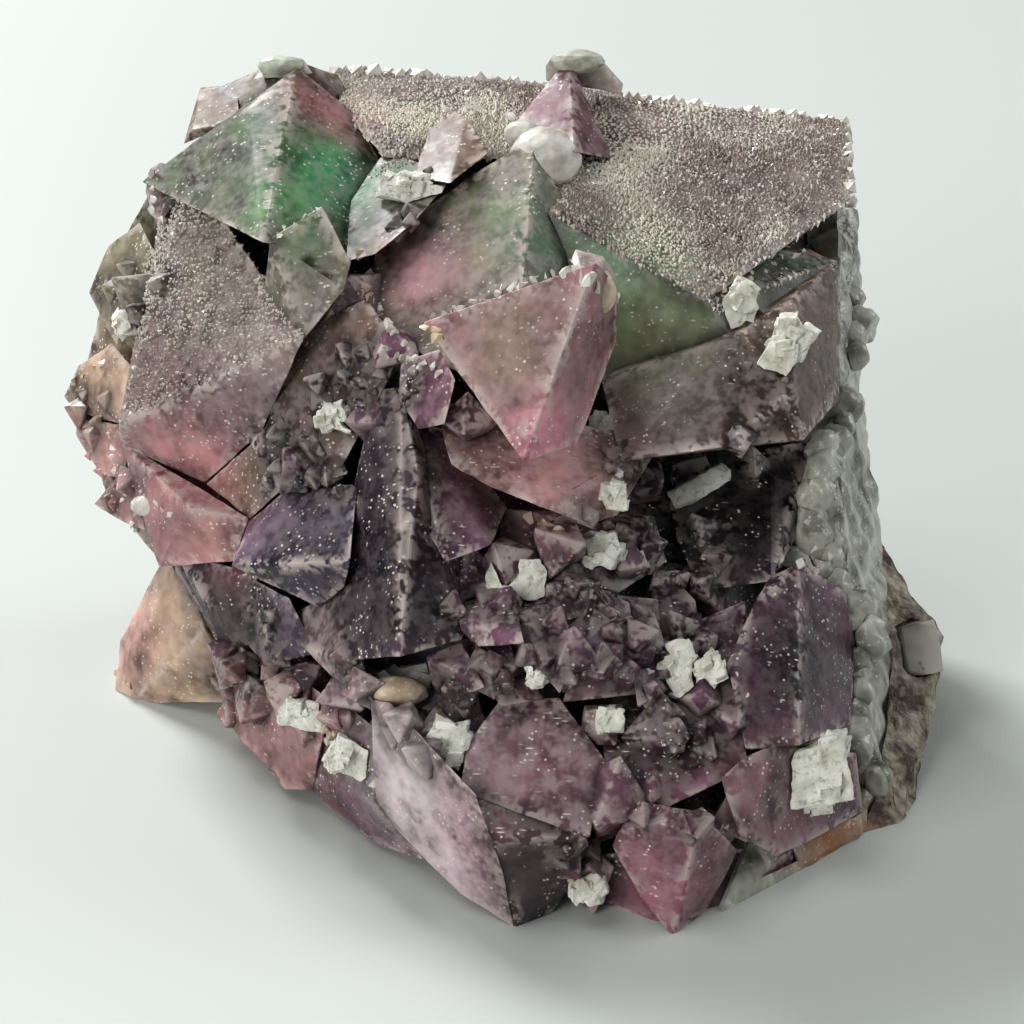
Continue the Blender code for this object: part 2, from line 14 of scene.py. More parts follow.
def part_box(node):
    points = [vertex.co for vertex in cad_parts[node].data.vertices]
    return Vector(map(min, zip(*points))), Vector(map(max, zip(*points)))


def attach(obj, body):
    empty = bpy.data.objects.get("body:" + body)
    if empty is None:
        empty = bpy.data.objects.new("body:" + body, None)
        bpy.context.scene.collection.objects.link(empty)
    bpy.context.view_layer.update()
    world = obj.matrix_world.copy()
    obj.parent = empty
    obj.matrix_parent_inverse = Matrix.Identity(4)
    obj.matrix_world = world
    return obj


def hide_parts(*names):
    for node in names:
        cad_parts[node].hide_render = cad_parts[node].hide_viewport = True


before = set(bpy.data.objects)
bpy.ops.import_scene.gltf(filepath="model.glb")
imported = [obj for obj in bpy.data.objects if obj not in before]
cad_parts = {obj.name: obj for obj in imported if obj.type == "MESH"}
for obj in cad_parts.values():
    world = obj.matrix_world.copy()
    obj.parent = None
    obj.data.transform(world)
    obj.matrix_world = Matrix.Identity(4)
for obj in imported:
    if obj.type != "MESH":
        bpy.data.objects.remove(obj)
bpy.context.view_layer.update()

MM = 0.001

# Driving sizes, the same as the construction's
CLUSTER_WIDTH = 0.100
VIEW_WIDTH = 875.0
VIEW_MIDDLE = 512.0
VIEW_LEAN = math.radians(27.0)
VIEW_DISTANCE = 0.230
FLOOR_DROP = 0.032
TOUCH = 0.00002

UNIT = CLUSTER_WIDTH / VIEW_WIDTH
RIGHT = Vector((1.0, 0.0, 0.0))
UPWARD = Vector((0.0, math.sin(VIEW_LEAN), math.cos(VIEW_LEAN)))
NEARER = Vector((0.0, -math.cos(VIEW_LEAN), math.sin(VIEW_LEAN)))
EYE = NEARER * VIEW_DISTANCE + Vector((0.0, 0.0, FLOOR_DROP))

# Sizes of the finer detail
EDGE_BREAK = 0.00014        # width taken off a crystal's edges
FINE = 0.0024               # longest triangle side once a surface is refined
SHARP = math.radians(16.0)  # edges bent more than this count as crystal edges


def seen(across, down, forward):
    """The point that the front view shows there, so many millimetres nearer than the view's middle."""
    near = forward * MM
    scale = UNIT * (VIEW_DISTANCE - near) / VIEW_DISTANCE
    flat = RIGHT * (across - VIEW_MIDDLE) * scale + UPWARD * (VIEW_MIDDLE - down) * scale
    return flat + NEARER * near + Vector((0.0, 0.0, FLOOR_DROP))


def hidden(x, y, z):
    """A point out of the front view's sight, in millimetres from the middle of the floor."""
    return Vector((x * MM, y * MM, z * MM))


def grown_from(root, *corners):
    """Corners of a crystal whose seen corners are given and whose hidden one lies at depth root."""
    across = sum(corner[0] for corner in corners) / len(corners)
    down = sum(corner[1] for corner in corners) / len(corners)
    return [seen(*corner) for corner in corners] + [seen(across, down, root)]


def octahedron(centre, edge, turn):
    """The six corners of a regular octahedron, turned by three angles in degrees."""
    arm = edge * MM / math.sqrt(2.0)
    turned = Matrix.Rotation(math.radians(turn[2]), 3, "Z")
    turned = turned @ Matrix.Rotation(math.radians(turn[1]), 3, "Y")
    turned = turned @ Matrix.Rotation(math.radians(turn[0]), 3, "X")
    return [centre + turned @ (axis * arm * side)
            for axis in (Vector((1, 0, 0)), Vector((0, 1, 0)), Vector((0, 0, 1))) for side in (1, -1)]


def top_left_crystals():
    """The green crystal, the big dusty one below it and the small tips down the left side."""
    return {
        "green_peak": grown_from(-22, (297, 66, -8), (262, 243, 9), (140, 182, -10), (250, 105, -5), (362, 118, -10),
                                 (405, 222, -4), (345, 252, 4)),
        "green_peak_cap": grown_from(-20, (252, 80, -10), (262, 64, -12), (290, 57, -10), (303, 58, -9), (314, 74, -8)),
        "back_block": grown_from(-28, (200, 87, -18), (238, 84, -16), (191, 130, -10), (183, 145, -12), (240, 120, -8)),
        "crest": grown_from(-26, (192, 128, -14), (207, 92, -18), (262, 68, -14), (303, 62, -11), (338, 74, -14),
                            (360, 112, -14), (250, 150, -9)),
        "left_mass": grown_from(-34, (162, 168, -14), (112, 258, -20), (84, 372, -24), (86, 432, -24),
                                (108, 500, -19), (158, 560, -18), (240, 130, -16)),
        "green_foot": grown_from(-14, (270, 238, 8), (322, 205, 8), (352, 262, 10), (345, 290, 10), (300, 345, 8),
                                 (262, 300, 4)),
        "left_shoulder": grown_from(-24, (192, 172, -4), (158, 225, -9), (118, 425, -5), (305, 338, 9), (205, 484, -7),
                                    (262, 433, 1), (120, 445, -9)),
        "left_lower": grown_from(-20, (120, 440, -11), (135, 490, -11), (158, 568, -8), (235, 562, -1), (250, 518, 1),
                                 (190, 508, 0)),
        "left_inner_wall": grown_from(-18, (205, 484, -6), (262, 433, 1), (280, 492, 4), (250, 520, 0)),
        "left_upper_tip": grown_from(-20, (150, 168, -10), (160, 162, -10), (172, 185, -6), (144, 192, -10),
                                     (158, 228, -6), (200, 170, -6)),
        "left_olive": grown_from(-26, (88, 293, -18), (101, 262, -16), (108, 245, -16), (140, 221, -12),
                                 (160, 262, -7), (157, 292, -8), (115, 345, -12)),
        "left_cream": grown_from(-28, (63, 397, -22), (78, 365, -20), (112, 342, -16), (135, 370, -10),
                                 (120, 425, -12), (75, 412, -20)),
        "left_rose": grown_from(-26, (77, 418, -20), (75, 435, -20), (100, 475, -16), (125, 480, -12), (130, 425, -10)),
        "left_low_tip": grown_from(-24, (93, 504, -18), (120, 472, -13), (135, 480, -11), (146, 532, -9),
                                   (118, 520, -14)),
        "back_foot": grown_from(-38, (158, 566, -20), (120, 640, -27), (114, 690, -26), (130, 704, -25),
                                (232, 703, -18), (240, 678, -15), (205, 630, -13), (185, 562, -14)),
    }


def top_crystals():
    """The dusted slope along the skyline, the peak on it and the big dusted crown at the right."""
    return {
        "top_slope": grown_from(-27, (333, 68, -18), (545, 84, -22), (625, 93, -19), (540, 160, -4), (420, 140, -5),
                                (384, 158, -4), (340, 110, -10)),
        "top_peak": grown_from(-22, (570, 54, -10), (505, 134, -4), (575, 152, 2), (614, 160, -6)),
        "top_peak_cap": grown_from(-19, (545, 82, -12), (545, 66, -12), (553, 54, -11), (578, 49, -10), (602, 58, -11),
                                   (624, 84, -13), (622, 94, -12)),
        "top_brown": grown_from(-14, (455, 110, -7), (428, 130, -5), (413, 178, 1), (450, 184, 5), (490, 152, 1),
                                (466, 116, -4)),
        "saddle": grown_from(-16, (385, 150, -6), (455, 175, 1), (415, 222, 7), (375, 255, 8), (345, 262, 6),
                             (350, 200, 0)),
        "right_crown": grown_from(-27, (533, 203, 4), (600, 94, -15), (846, 120, -21), (851, 202, -11), (776, 240, -1),
                                  (705, 303, 9)),
        "right_under": grown_from(-20, (533, 203, 4), (705, 303, 9), (735, 340, 7), (690, 372, 6), (600, 382, 3),
                                  (527, 275, -2), (840, 260, -7)),
        "right_brown": grown_from(-22, (600, 378, 5), (735, 335, 9), (790, 300, 4), (842, 255, -8), (840, 400, -2),
                                  (805, 440, 10), (720, 448, 15), (620, 462, 13), (795, 392, 11)),
    }


def centre_crystals():
    """The pale green crystal, the pink one in front of it and the brown ledge below."""
    return {
        "centre_green": grown_from(-14, (535, 137, 2), (470, 175, 1.4), (415, 215, 1.3), (375, 250, 1.6), (364, 298, 4),
                                   (402, 345, 8.6), (440, 358, 11.2), (512, 400, 17), (527, 270, 9.7), (575, 226, 2),
                                   (572, 330, 4)),
        "centre_pink": grown_from(2, (422, 322, 20), (596, 262, 27), (523, 463, 27), (618, 284, 20), (617, 342, 18),
                                  (592, 410, 20), (577, 445, 21)),
        "centre_pink_cap": grown_from(12, (570, 262, 23), (575, 248, 22), (605, 256, 22), (619, 282, 21), (611, 298, 22),
                                      (588, 286, 27)),
        "brown_mid": grown_from(-12, (300, 330, 4), (365, 298, 8), (405, 345, 11), (380, 398, 11), (318, 440, 8),
                                (262, 433, 3), (340, 472, 8)),
        "crusted": grown_from(2, (400, 362, 12), (440, 348, 16), (456, 380, 19), (445, 425, 18), (418, 430, 16),
                              (398, 400, 13)),
        "ledge": grown_from(-6, (432, 400, 11), (450, 465, 17), (490, 487, 19), (540, 507, 20), (590, 525, 18),
                            (618, 516, 13), (622, 470, 13), (664, 438, 9)),
    }


def middle_crystals():
    """The tall dark crystal, the blue one at its left and the small ones across the middle."""
    return {
        "pillar": grown_from(-12, (372, 390, 10), (402, 385, 12), (355, 480, 9), (340, 600, 10), (333, 662, 12),
                             (400, 657, 20), (462, 640, 16), (482, 602, 11), (447, 565, 14), (418, 470, 15)),
        "pillar_right": grown_from(-2, (412, 420, 10), (420, 520, 14), (445, 563, 18), (492, 546, 16), (508, 508, 10),
                                   (450, 430, 9)),
        "blue_left": grown_from(-14, (278, 496, 4), (248, 522, 2), (230, 566, 6), (350, 563, 15), (358, 485, 10),
                                (300, 478, 5), (345, 588, 12), (318, 608, 8)),
        "spine_left": grown_from(-12, (262, 452, 2), (280, 496, 7), (348, 474, 9), (335, 420, 5), (258, 428, 1)),
        "grey_under": grown_from(-8, (294, 612, 3), (345, 586, 10), (338, 660, 14), (330, 676, 12), (300, 645, 6),
                                 (374, 703, 16)),
        "dark_block": grown_from(-24, (180, 562, -10), (205, 560, -7), (257, 572, 0), (262, 644, 0), (220, 650, -7),
                                 (205, 600, -5)),
        "blue_fang": grown_from(-14, (256, 580, 0), (290, 598, 5), (318, 654, 7), (265, 666, 2), (243, 640, -4)),
        "narrow": grown_from(2, (472, 622, 12), (548, 700, 16), (500, 707, 19), (476, 665, 15)),
        "small_wedge": grown_from(2, (426, 656, 14), (462, 640, 14), (486, 688, 19), (436, 704, 13)),
        "lilac_face": grown_from(2, (440, 610, 14), (500, 590, 13), (516, 600, 16), (525, 644, 21), (478, 648, 17)),
        "middle_a": grown_from(0, (508, 598, 13), (583, 560, 9), (604, 592, 14), (560, 695, 20), (518, 646, 17)),
        "middle_b": grown_from(0, (598, 588, 13), (630, 602, 12), (644, 695, 16), (562, 703, 18), (585, 640, 19)),
        "middle_c": grown_from(-2, (616, 594, 11), (658, 598, 9), (670, 690, 14), (638, 708, 18)),
        "middle_d": grown_from(-8, (655, 556, 2), (696, 600, 7), (704, 654, 11), (660, 690, 14), (648, 620, 10)),
        "middle_e": grown_from(-6, (745, 600, 7), (692, 622, 7), (688, 692, 13), (740, 708, 14), (754, 650, 9)),
        "bridge": grown_from(-8, (498, 508, 9), (600, 522, 8), (655, 515, 2), (668, 562, 4), (600, 606, 13),
                             (503, 606, 12)),
        "hollow_crystal": grown_from(-18, (668, 500, -2), (770, 446, -4), (814, 440, -6), (818, 500, -6),
                                     (772, 582, 4), (700, 592, 4), (676, 540, 2)),
    }


def low_crystals():
    """The lower left mass, the grey blade, the dark corner and the tips that stand on the floor."""
    return {
        "low_left_back": grown_from(-26, (218, 683, -13), (222, 715, -12), (242, 742, -9), (285, 790, -4),
                                    (314, 791, -1), (332, 700, 7), (260, 648, -4), (320, 748, 5)),
        "low_left_front": grown_from(-16, (312, 790, -1), (335, 813, 0), (380, 846, 5), (424, 861, 9), (384, 735, 12),
                                     (330, 690, 8), (372, 800, 11)),
        "blade": grown_from(-2, (370, 698, 15), (372, 760, 13), (376, 802, 11), (398, 832, 11), (460, 894, 14),
                            (515, 929, 16), (503, 870, 21), (476, 794, 23), (440, 776, 20), (390, 702, 17)),
        "low_dark": grown_from(-4, (475, 794, 20), (522, 802, 20), (588, 838, 21), (592, 852, 16), (562, 896, 13),
                               (545, 926, 13), (515, 929, 16), (490, 840, 22)),
        "cracked": grown_from(0, (500, 698, 15), (466, 745, 17.5), (459, 792, 20), (520, 804, 20.4), (562, 816, 20.9),
                               (590, 839, 22), (606, 760, 17.8), (560, 697, 14.7)),
        "low_middle": grown_from(-4, (600, 708, 14), (737, 698, 13), (750, 768, 16), (640, 822, 19), (604, 770, 18)),
        "right_purple": grown_from(-12, (770, 576, 8), (800, 562, 8), (846, 590, 2), (755, 600, 11), (726, 664, 13),
                                   (745, 750, 17), (800, 746, 15), (852, 725, 3), (856, 640, 0)),
        "right_foot": grown_from(-6, (720, 778, 18), (745, 756, 17), (775, 744, 16), (857, 752, 4), (864, 812, 2),
                                 (800, 847, 12), (775, 857, 15), (738, 834, 19)),
        "front_tip": grown_from(0, (617, 832, 20), (611, 846, 19), (640, 897, 17), (673, 939, 17), (692, 932, 14),
                                (723, 882, 14), (739, 850, 16), (702, 812, 24), (640, 800, 19)),
        "front_tip_left": grown_from(-2, (563, 886, 11), (596, 856, 16), (645, 846, 18), (668, 936, 15),
                                     (600, 914, 11)),
        "low_filler": grown_from(-12, (700, 850, 12), (792, 850, 9), (800, 872, 6), (748, 903, 10), (700, 925, 14),
                                 (600, 890, 8)),
    }


def hidden_crystals():
    """Crystals on the left side, the top and the far side that the front view doesn't show."""
    return {
        "left_side_a": octahedron(hidden(-38, 22, 46), 17, (20, 35, 10)),
        "left_side_b": octahedron(hidden(-38, 26, 28), 18, (35, 10, 60)),
        "left_side_c": octahedron(hidden(-36, 17, 22), 15, (10, 50, 30)),
        "left_side_d": octahedron(hidden(-33, 30, 12), 15, (40, 20, 15)),
        "left_side_e": octahedron(hidden(-38, 24, 38), 13, (15, 15, 75)),
        "left_side_f": octahedron(hidden(-28, 8, 9), 14, (55, 30, 20)),
        "left_top_a": octahedron(hidden(-30, 36, 60), 17, (30, 15, 40)),
        "back_top_a": octahedron(hidden(-12, 38, 60), 18, (15, 40, 20)),
        "back_top_b": octahedron(hidden(6, 38, 57), 15, (45, 15, 65)),
        "back_top_c": octahedron(hidden(22, 34, 56), 18, (20, 25, 50)),
        "back_top_d": octahedron(hidden(-22, 40, 46), 16, (60, 5, 35)),
        "right_top_a": octahedron(hidden(33, 26, 48), 14, (35, 35, 5)),
        "under_a": octahedron(hidden(-10, -12, 10), 13, (25, 30, 45)),
        "under_b": octahedron(hidden(14, -16, 9), 14, (50, 20, 10)),
    }


SIDE_COUNT = 30

# Small crystals in the crevices: across, down, forward of the middle and edge in millimetres
CREVICES = (
    (352, 300, 4, 7), (330, 395, 5, 6), (300, 462, 5, 5), (372, 420, 9, 5), (395, 350, 10, 5), (468, 420, 14, 5),
    (640, 478, 0, 6), (625, 545, 6, 6), (690, 480, -4, 6), (700, 590, 2, 6), (505, 560, 12, 5), (560, 545, 12, 6),
    (470, 580, 10, 7), (500, 665, 15, 5), (452, 720, 12, 8), (410, 720, 11, 7), (420, 760, 11, 6), (350, 690, 8, 6),
    (300, 690, 1, 7), (260, 700, -5, 6), (700, 700, 12, 6), (660, 735, 15, 7), (610, 800, 17, 8), (600, 725, 15, 5),
    (745, 815, 14, 6), (585, 870, 14, 7), (735, 720, 13, 6),
    (560, 620, 14, 5), (640, 640, 13, 5), (545, 655, 16, 5), (235, 660, -6, 6), (285, 560, 3, 5),
)


def crevice_crystals():
    draw = random.Random(11)
    return {f"crevice_{n}": octahedron(seen(across, down, forward), edge, [draw.uniform(0, 90) for _ in range(3)])
            for n, (across, down, forward, edge) in enumerate(CREVICES)}


def side_crystals(tree):
    """Crystals over the left side, the top and the back, each one out of the front view's sight."""
    draw = random.Random(5)
    found = {}
    while len(found) < SIDE_COUNT:
        around = math.radians(draw.uniform(170, 290))
        rise = math.radians(draw.uniform(-5, 65))
        outward = Vector((math.sin(around) * math.cos(rise), -math.cos(around) * math.cos(rise), math.sin(rise)))
        aim = hidden(draw.uniform(-24, 30), draw.uniform(0, 26), draw.uniform(10, 58))
        edge = draw.uniform(6.5, 11)
        turn = [draw.uniform(0, 90) for _ in range(3)]
        place = tree.ray_cast(aim + outward * 0.2, -outward)[0]
        if place is None or not (place.x < -0.024 or place.z > 0.048):
            continue
        corners = octahedron(place - outward * edge * MM * 0.15, edge, turn)
        unseen = [tree.ray_cast(EYE, (corner - EYE).normalized(), (corner - EYE).length - 0.001)[0] for corner in corners]
        if all(unseen) and min(corner.z for corner in corners) > 0.001:
            found[f"side_{len(found)}"] = corners
    return found


def core():
    """The solid fluorite behind the crystals, in three blocks that leave the dark hollow open."""
    back = [hidden(-32, 23, 9), hidden(33, 15, 9), hidden(34, 32, 52), hidden(-30, 36, 56), hidden(-37, 30, 28)]
    front = [seen(*corner) for corner in (
        (215, 140, -14), (330, 100, -18), (560, 125, -19), (590, 300, -8), (585, 460, -2), (600, 600, 3),
        (700, 720, 6), (815, 740, -2), (720, 850, 2), (560, 880, 4), (420, 830, 3), (300, 760, -7), (245, 700, -13),
        (165, 555, -15), (132, 430, -17), (145, 260, -17), (450, 400, 3), (480, 640, 8), (380, 640, 6))]
    crown = [seen(*corner) for corner in (
        (560, 125, -21), (815, 150, -25), (828, 300, -14), (815, 420, -6), (650, 425, 0), (590, 300, -4))]
    foot = [seen(*corner) for corner in (
        (640, 610, 2), (830, 600, -6), (840, 740, -3), (840, 800, -2), (720, 850, 2))]
    return {"core": front + back,
            "core_crown": crown + [hidden(34, 32, 52), hidden(20, 20, 40), hidden(34, 16, 34)],
            "core_foot": foot + [hidden(33, 15, 9), hidden(20, 8, 8), hidden(30, 12, 24)]}


def linear(red, green, blue):
    """A colour as the eye sees it, 0 to 255, in the renderer's linear values."""
    return np.array([(c / 255.0) ** 2.2 for c in (red, green, blue)])


# What each kind of crystal looks like: its lighter colour, which the fused crystals get as a painted glow where they
# are thin or near their edges and the cloudy bits get all over, and its colour deep inside
KINDS = {
    "purple": (linear(156, 108, 138), linear(54, 26, 42)),
    "dark": (linear(76, 50, 70), linear(18, 8, 15)),
    "blue": (linear(98, 84, 116), linear(40, 30, 56)),
    "pink": (linear(218, 162, 164), linear(132, 92, 96)),
    "green": (linear(124, 156, 116), linear(58, 92, 62)),
    "olive": (linear(150, 148, 118), linear(84, 84, 58)),
    "brown": (linear(142, 112, 92), linear(66, 44, 34)),
    "grey": (linear(166, 144, 146), linear(92, 70, 76)),
    "drusy": (linear(164, 152, 142), linear(96, 80, 76)),
    "cream": (linear(226, 204, 176), linear(176, 146, 120)),
    "mist": (linear(212, 218, 202), linear(168, 174, 156)),
    "frost": (linear(238, 234, 226), linear(206, 198, 190)),
}
KIND_OF = {
    "green_peak": "green", "green_peak_cap": "mist", "back_block": "brown", "crest": "olive", "left_mass": "olive",
    "green_foot": "olive", "left_shoulder": "grey", "left_lower": "pink", "left_inner_wall": "olive",
    "left_upper_tip": "grey", "left_olive": "olive", "left_cream": "cream", "left_rose": "pink",
    "left_low_tip": "pink", "back_foot": "cream", "top_slope": "drusy", "top_peak": "purple",
    "top_peak_cap": "mist", "top_brown": "brown", "saddle": "green", "right_crown": "drusy",
    "right_under": "green", "right_brown": "brown", "centre_green": "olive", "centre_pink": "pink",
    "centre_pink_cap": "frost", "brown_mid": "brown", "crusted": "purple", "ledge": "brown", "pillar": "dark",
    "pillar_right": "dark", "blue_left": "blue", "spine_left": "dark", "grey_under": "grey", "dark_block": "dark",
    "blue_fang": "blue", "hollow_crystal": "dark", "low_left_back": "pink", "blade": "grey", "low_dark": "dark",
    "core": "dark", "core_crown": "dark", "core_foot": "dark",
}
SIDE_KINDS = ("olive", "pink", "grey", "purple", "green", "cream")

# Patches of colour inside the crystals, two of them painted shade in the hollow: place in the front view, reach in
# millimetres, colour and strength
PATCHES = (
    (287, 188, 4, 5.0, linear(50, 190, 84), 1.0), (345, 190, 0, 6.0, linear(46, 128, 84), 0.95),
    (300, 235, 6, 4.5, linear(76, 136, 84), 0.6), (325, 108, -6, 5.0, linear(184, 88, 92), 0.9),
    (235, 160, -2, 7.0, linear(44, 70, 28), 1.0), (200, 150, -8, 6.0, linear(84, 98, 58), 0.8),
    (262, 140, 0, 4.5, linear(74, 112, 66), 0.9), (335, 165, 0, 4.5, linear(40, 160, 96), 0.9),
    (352, 118, -8, 4.0, linear(206, 150, 146), 0.7), (365, 225, 4, 5.5, linear(26, 88, 54), 1.0),
    (225, 240, 2, 7.0, linear(108, 112, 84), 0.6), (392, 235, 8, 4.0, linear(36, 84, 52), 0.9),
    (500, 215, 6, 6.0, linear(138, 158, 120), 0.85), (620, 275, 5, 7.0, linear(112, 176, 118), 0.9),
    (665, 330, 6, 7.0, linear(170, 188, 144), 0.85), (545, 235, 6, 6.0, linear(66, 112, 76), 0.7),
    (420, 270, 5, 6.0, linear(210, 160, 166), 0.9), (505, 350, 24, 7.0, linear(150, 140, 114), 0.85),
    (545, 445, 25, 4.5, linear(250, 144, 172), 0.95), (440, 330, 22, 5.0, linear(206, 150, 150), 0.6),
    (600, 330, 20, 6.0, linear(180, 122, 128), 0.7), (190, 450, -4, 7.0, linear(226, 158, 158), 0.85),
    (150, 330, -5, 8.0, linear(100, 78, 80), 0.6), (215, 280, 0, 8.0, linear(122, 114, 94), 0.6),
    (270, 340, 4, 6.0, linear(150, 138, 126), 0.6), (310, 540, 10, 7.0, linear(44, 30, 66), 0.85),
    (470, 840, 20, 5.0, linear(226, 158, 178), 0.85), (660, 880, 18, 8.0, linear(170, 110, 124), 0.8),
    (130, 630, -25, 6.0, linear(240, 180, 166), 0.9), (200, 690, -20, 5.0, linear(232, 208, 166), 0.8),
    (640, 90, -14, 7.0, linear(156, 124, 122), 0.4), (800, 330, 0, 8.0, linear(112, 88, 70), 0.5),
    (715, 410, 12, 7.0, linear(52, 28, 16), 0.9), (545, 855, 18, 6.0, linear(26, 20, 18), 0.9),
    (770, 815, 16, 7.0, linear(184, 146, 146), 0.75), (570, 110, -4, 7.0, linear(132, 84, 88), 0.8),
    (560, 640, 18, 8.0, linear(92, 58, 70), 0.5), (545, 740, 20, 7.0, linear(176, 132, 140), 0.75),
    (240, 640, -8, 5.0, linear(40, 28, 34), 0.6), (275, 740, -4, 8.0, linear(196, 148, 140), 0.7),
    (550, 470, 18, 8.0, linear(234, 180, 176), 0.9), (220, 530, -2, 6.0, linear(180, 126, 118), 0.6),
    (405, 790, 14, 6.5, linear(255, 246, 248), 1.0), (440, 870, 14, 6.0, linear(255, 240, 248), 1.0),
    (385, 730, 12, 5.0, linear(240, 228, 228), 0.9),
    (92, 390, -20, 8.0, linear(238, 210, 174), 0.85), (100, 460, -16, 6.0, linear(226, 166, 160), 0.8),
    (115, 270, -14, 6.0, linear(150, 148, 112), 0.7), (795, 660, 8, 9.0, linear(38, 16, 26), 0.85),
    (400, 570, 14, 8.0, linear(34, 18, 32), 0.8), (620, 740, 18, 5.0, linear(66, 36, 52), 0.6),
    # painted shade: these two near-black patches darken the hollow under the overhang
    (735, 500, 0, 10.0, linear(16, 8, 12), 0.95), (655, 530, 4, 6.0, linear(26, 12, 20), 0.8),
    (330, 640, 6, 6.0, linear(70, 40, 56), 0.7), (400, 690, 12, 5.0, linear(60, 36, 44), 0.7),
    (655, 350, 12, 5.0, linear(160, 160, 124), 0.6), (840, 330, -6, 6.0, linear(126, 104, 84), 0.6),
    (190, 480, -3, 5.0, linear(238, 172, 176), 0.7), (270, 520, 8, 5.0, linear(150, 122, 150), 0.5),
    (570, 640, 18, 4.0, linear(150, 110, 144), 0.6), (500, 560, 16, 5.0, linear(120, 84, 116), 0.6),
    (470, 500, 18, 5.0, linear(130, 88, 112), 0.6), (700, 640, 16, 5.0, linear(84, 52, 80), 0.6),
)

# How frosted the faces of some crystals are; the others draw it at random
FROST = {"left_shoulder": 0.7, "top_slope": 0.6, "right_crown": 0.6, "blade": 0.85, "lilac_face": 0.8,
         "grey_under": 0.8, "left_lower": 0.3, "centre_pink": 0.45, "hollow_crystal": 0.0, "low_dark": 0.0, "right_purple": 0.12, "blue_left": 0.2,
         "dark_block": 0.1, "low_middle": 0.2, "pillar": 0.15, "green_peak": 0.35, "right_brown": 0.35,
         "saddle": 0.5, "cracked": 0.7, "front_tip": 0.5, "core": 0.1, "centre_green": 0.55, "ledge": 0.6}

# Lines of small pale chips: from, to, how many, smallest and largest edge in millimetres, kind
CHIP_LINES = (
    ((427, 318, 20), (500, 292, 23), 9, 0.9, 1.8, "frost"), ((500, 292, 23), (575, 268, 25), 9, 0.9, 1.9, "frost"),
    ((427, 318, 20), (446, 350, 21), 4, 1.2, 2.0, "cream"), ((575, 266, 25), (616, 300, 21), 6, 1.2, 2.4, "frost"),
    ((364, 250, 2), (370, 300, 5), 7, 1.0, 2.0, "cream"), ((370, 300, 5), (405, 345, 9), 7, 0.9, 1.8, "frost"),
    ((270, 240, 9), (322, 207, 8), 5, 0.6, 1.2, "frost"), ((380, 352, 10), (440, 372, 16), 10, 0.8, 1.8, "frost"),
    ((536, 140, 2), (528, 200, 5), 7, 0.6, 1.3, "frost"), ((425, 108, -6), (515, 118, -8), 12, 1.4, 2.8, "frost"),
    ((745, 278, 1), (842, 236, -6), 12, 0.8, 1.6, "frost"), ((300, 68, -8), (262, 66, -11), 6, 1.0, 2.2, "cream"),
    ((105, 430, -8), (145, 560, -9), 12, 0.8, 2.0, "frost"), ((140, 490, -8), (175, 520, -6), 6, 0.8, 1.6, "frost"),
    ((105, 655, -25), (135, 690, -25), 6, 1.0, 1.8, "cream"), ((280, 700, -1), (340, 738, 2), 10, 1.0, 2.2, "cream"),
    ((328, 735, 4), (375, 782, 8), 9, 1.0, 2.0, "frost"), ((615, 610, 13), (655, 678, 15), 9, 0.6, 1.3, "frost"),
    ((620, 470, 10), (615, 510, 13), 4, 0.9, 1.6, "frost"), ((530, 520, 15), (560, 528, 16), 4, 1.2, 2.0, "cream"),
    ((720, 660, 13), (750, 695, 14), 4, 0.9, 1.4, "frost"), ((694, 806, 21), (747, 852, 18), 8, 0.8, 1.6, "frost"),
    ((568, 868, 15), (590, 918, 14), 6, 0.9, 1.8, "cream"), ((770, 552, 8), (835, 575, 2), 9, 0.9, 1.8, "frost"),
    ((720, 285, 8), (752, 345, 8), 7, 1.0, 2.0, "cream"), ((148, 166, -9), (160, 225, -8), 5, 1.0, 2.0, "frost"),
    ((70, 385, -19), (120, 350, -14), 5, 1.0, 2.2, "cream"), ((80, 440, -18), (110, 500, -15), 7, 1.0, 2.2, "pink"),
)

# Sawtooth rows of upright tips along the skyline: from, to, how many, smallest and largest edge
TIP_ROWS = (
    ((333, 69, -18), (545, 85, -22), 24, 1.3, 2.6), ((625, 95, -19), (846, 121, -21), 26, 1.1, 2.2),
    ((340, 82, -16), (540, 104, -17), 22, 1.0, 2.0), ((846, 122, -21), (851, 200, -11), 9, 0.9, 1.6),
)

# Rounded cloudy lumps: place, half width, half height and half depth in millimetres, kind
LUMPS = (
    (545, 158, 0, 4.3, 3.7, 3.2, "frost"), (522, 134, -1, 2.2, 1.7, 1.8, "frost"), (598, 292, 22, 2.0, 2.6, 1.8, "cream"),
    (283, 67, -10, 3.2, 1.3, 2.6, "mist"), (577, 62, -9, 3.4, 1.4, 2.6, "mist"), (128, 323, -18, 1.7, 1.9, 1.7, "frost"),
    (398, 692, 14, 3.4, 1.8, 2.0, "cream"), (148, 505, -9, 2.2, 1.4, 1.6, "frost"),
)

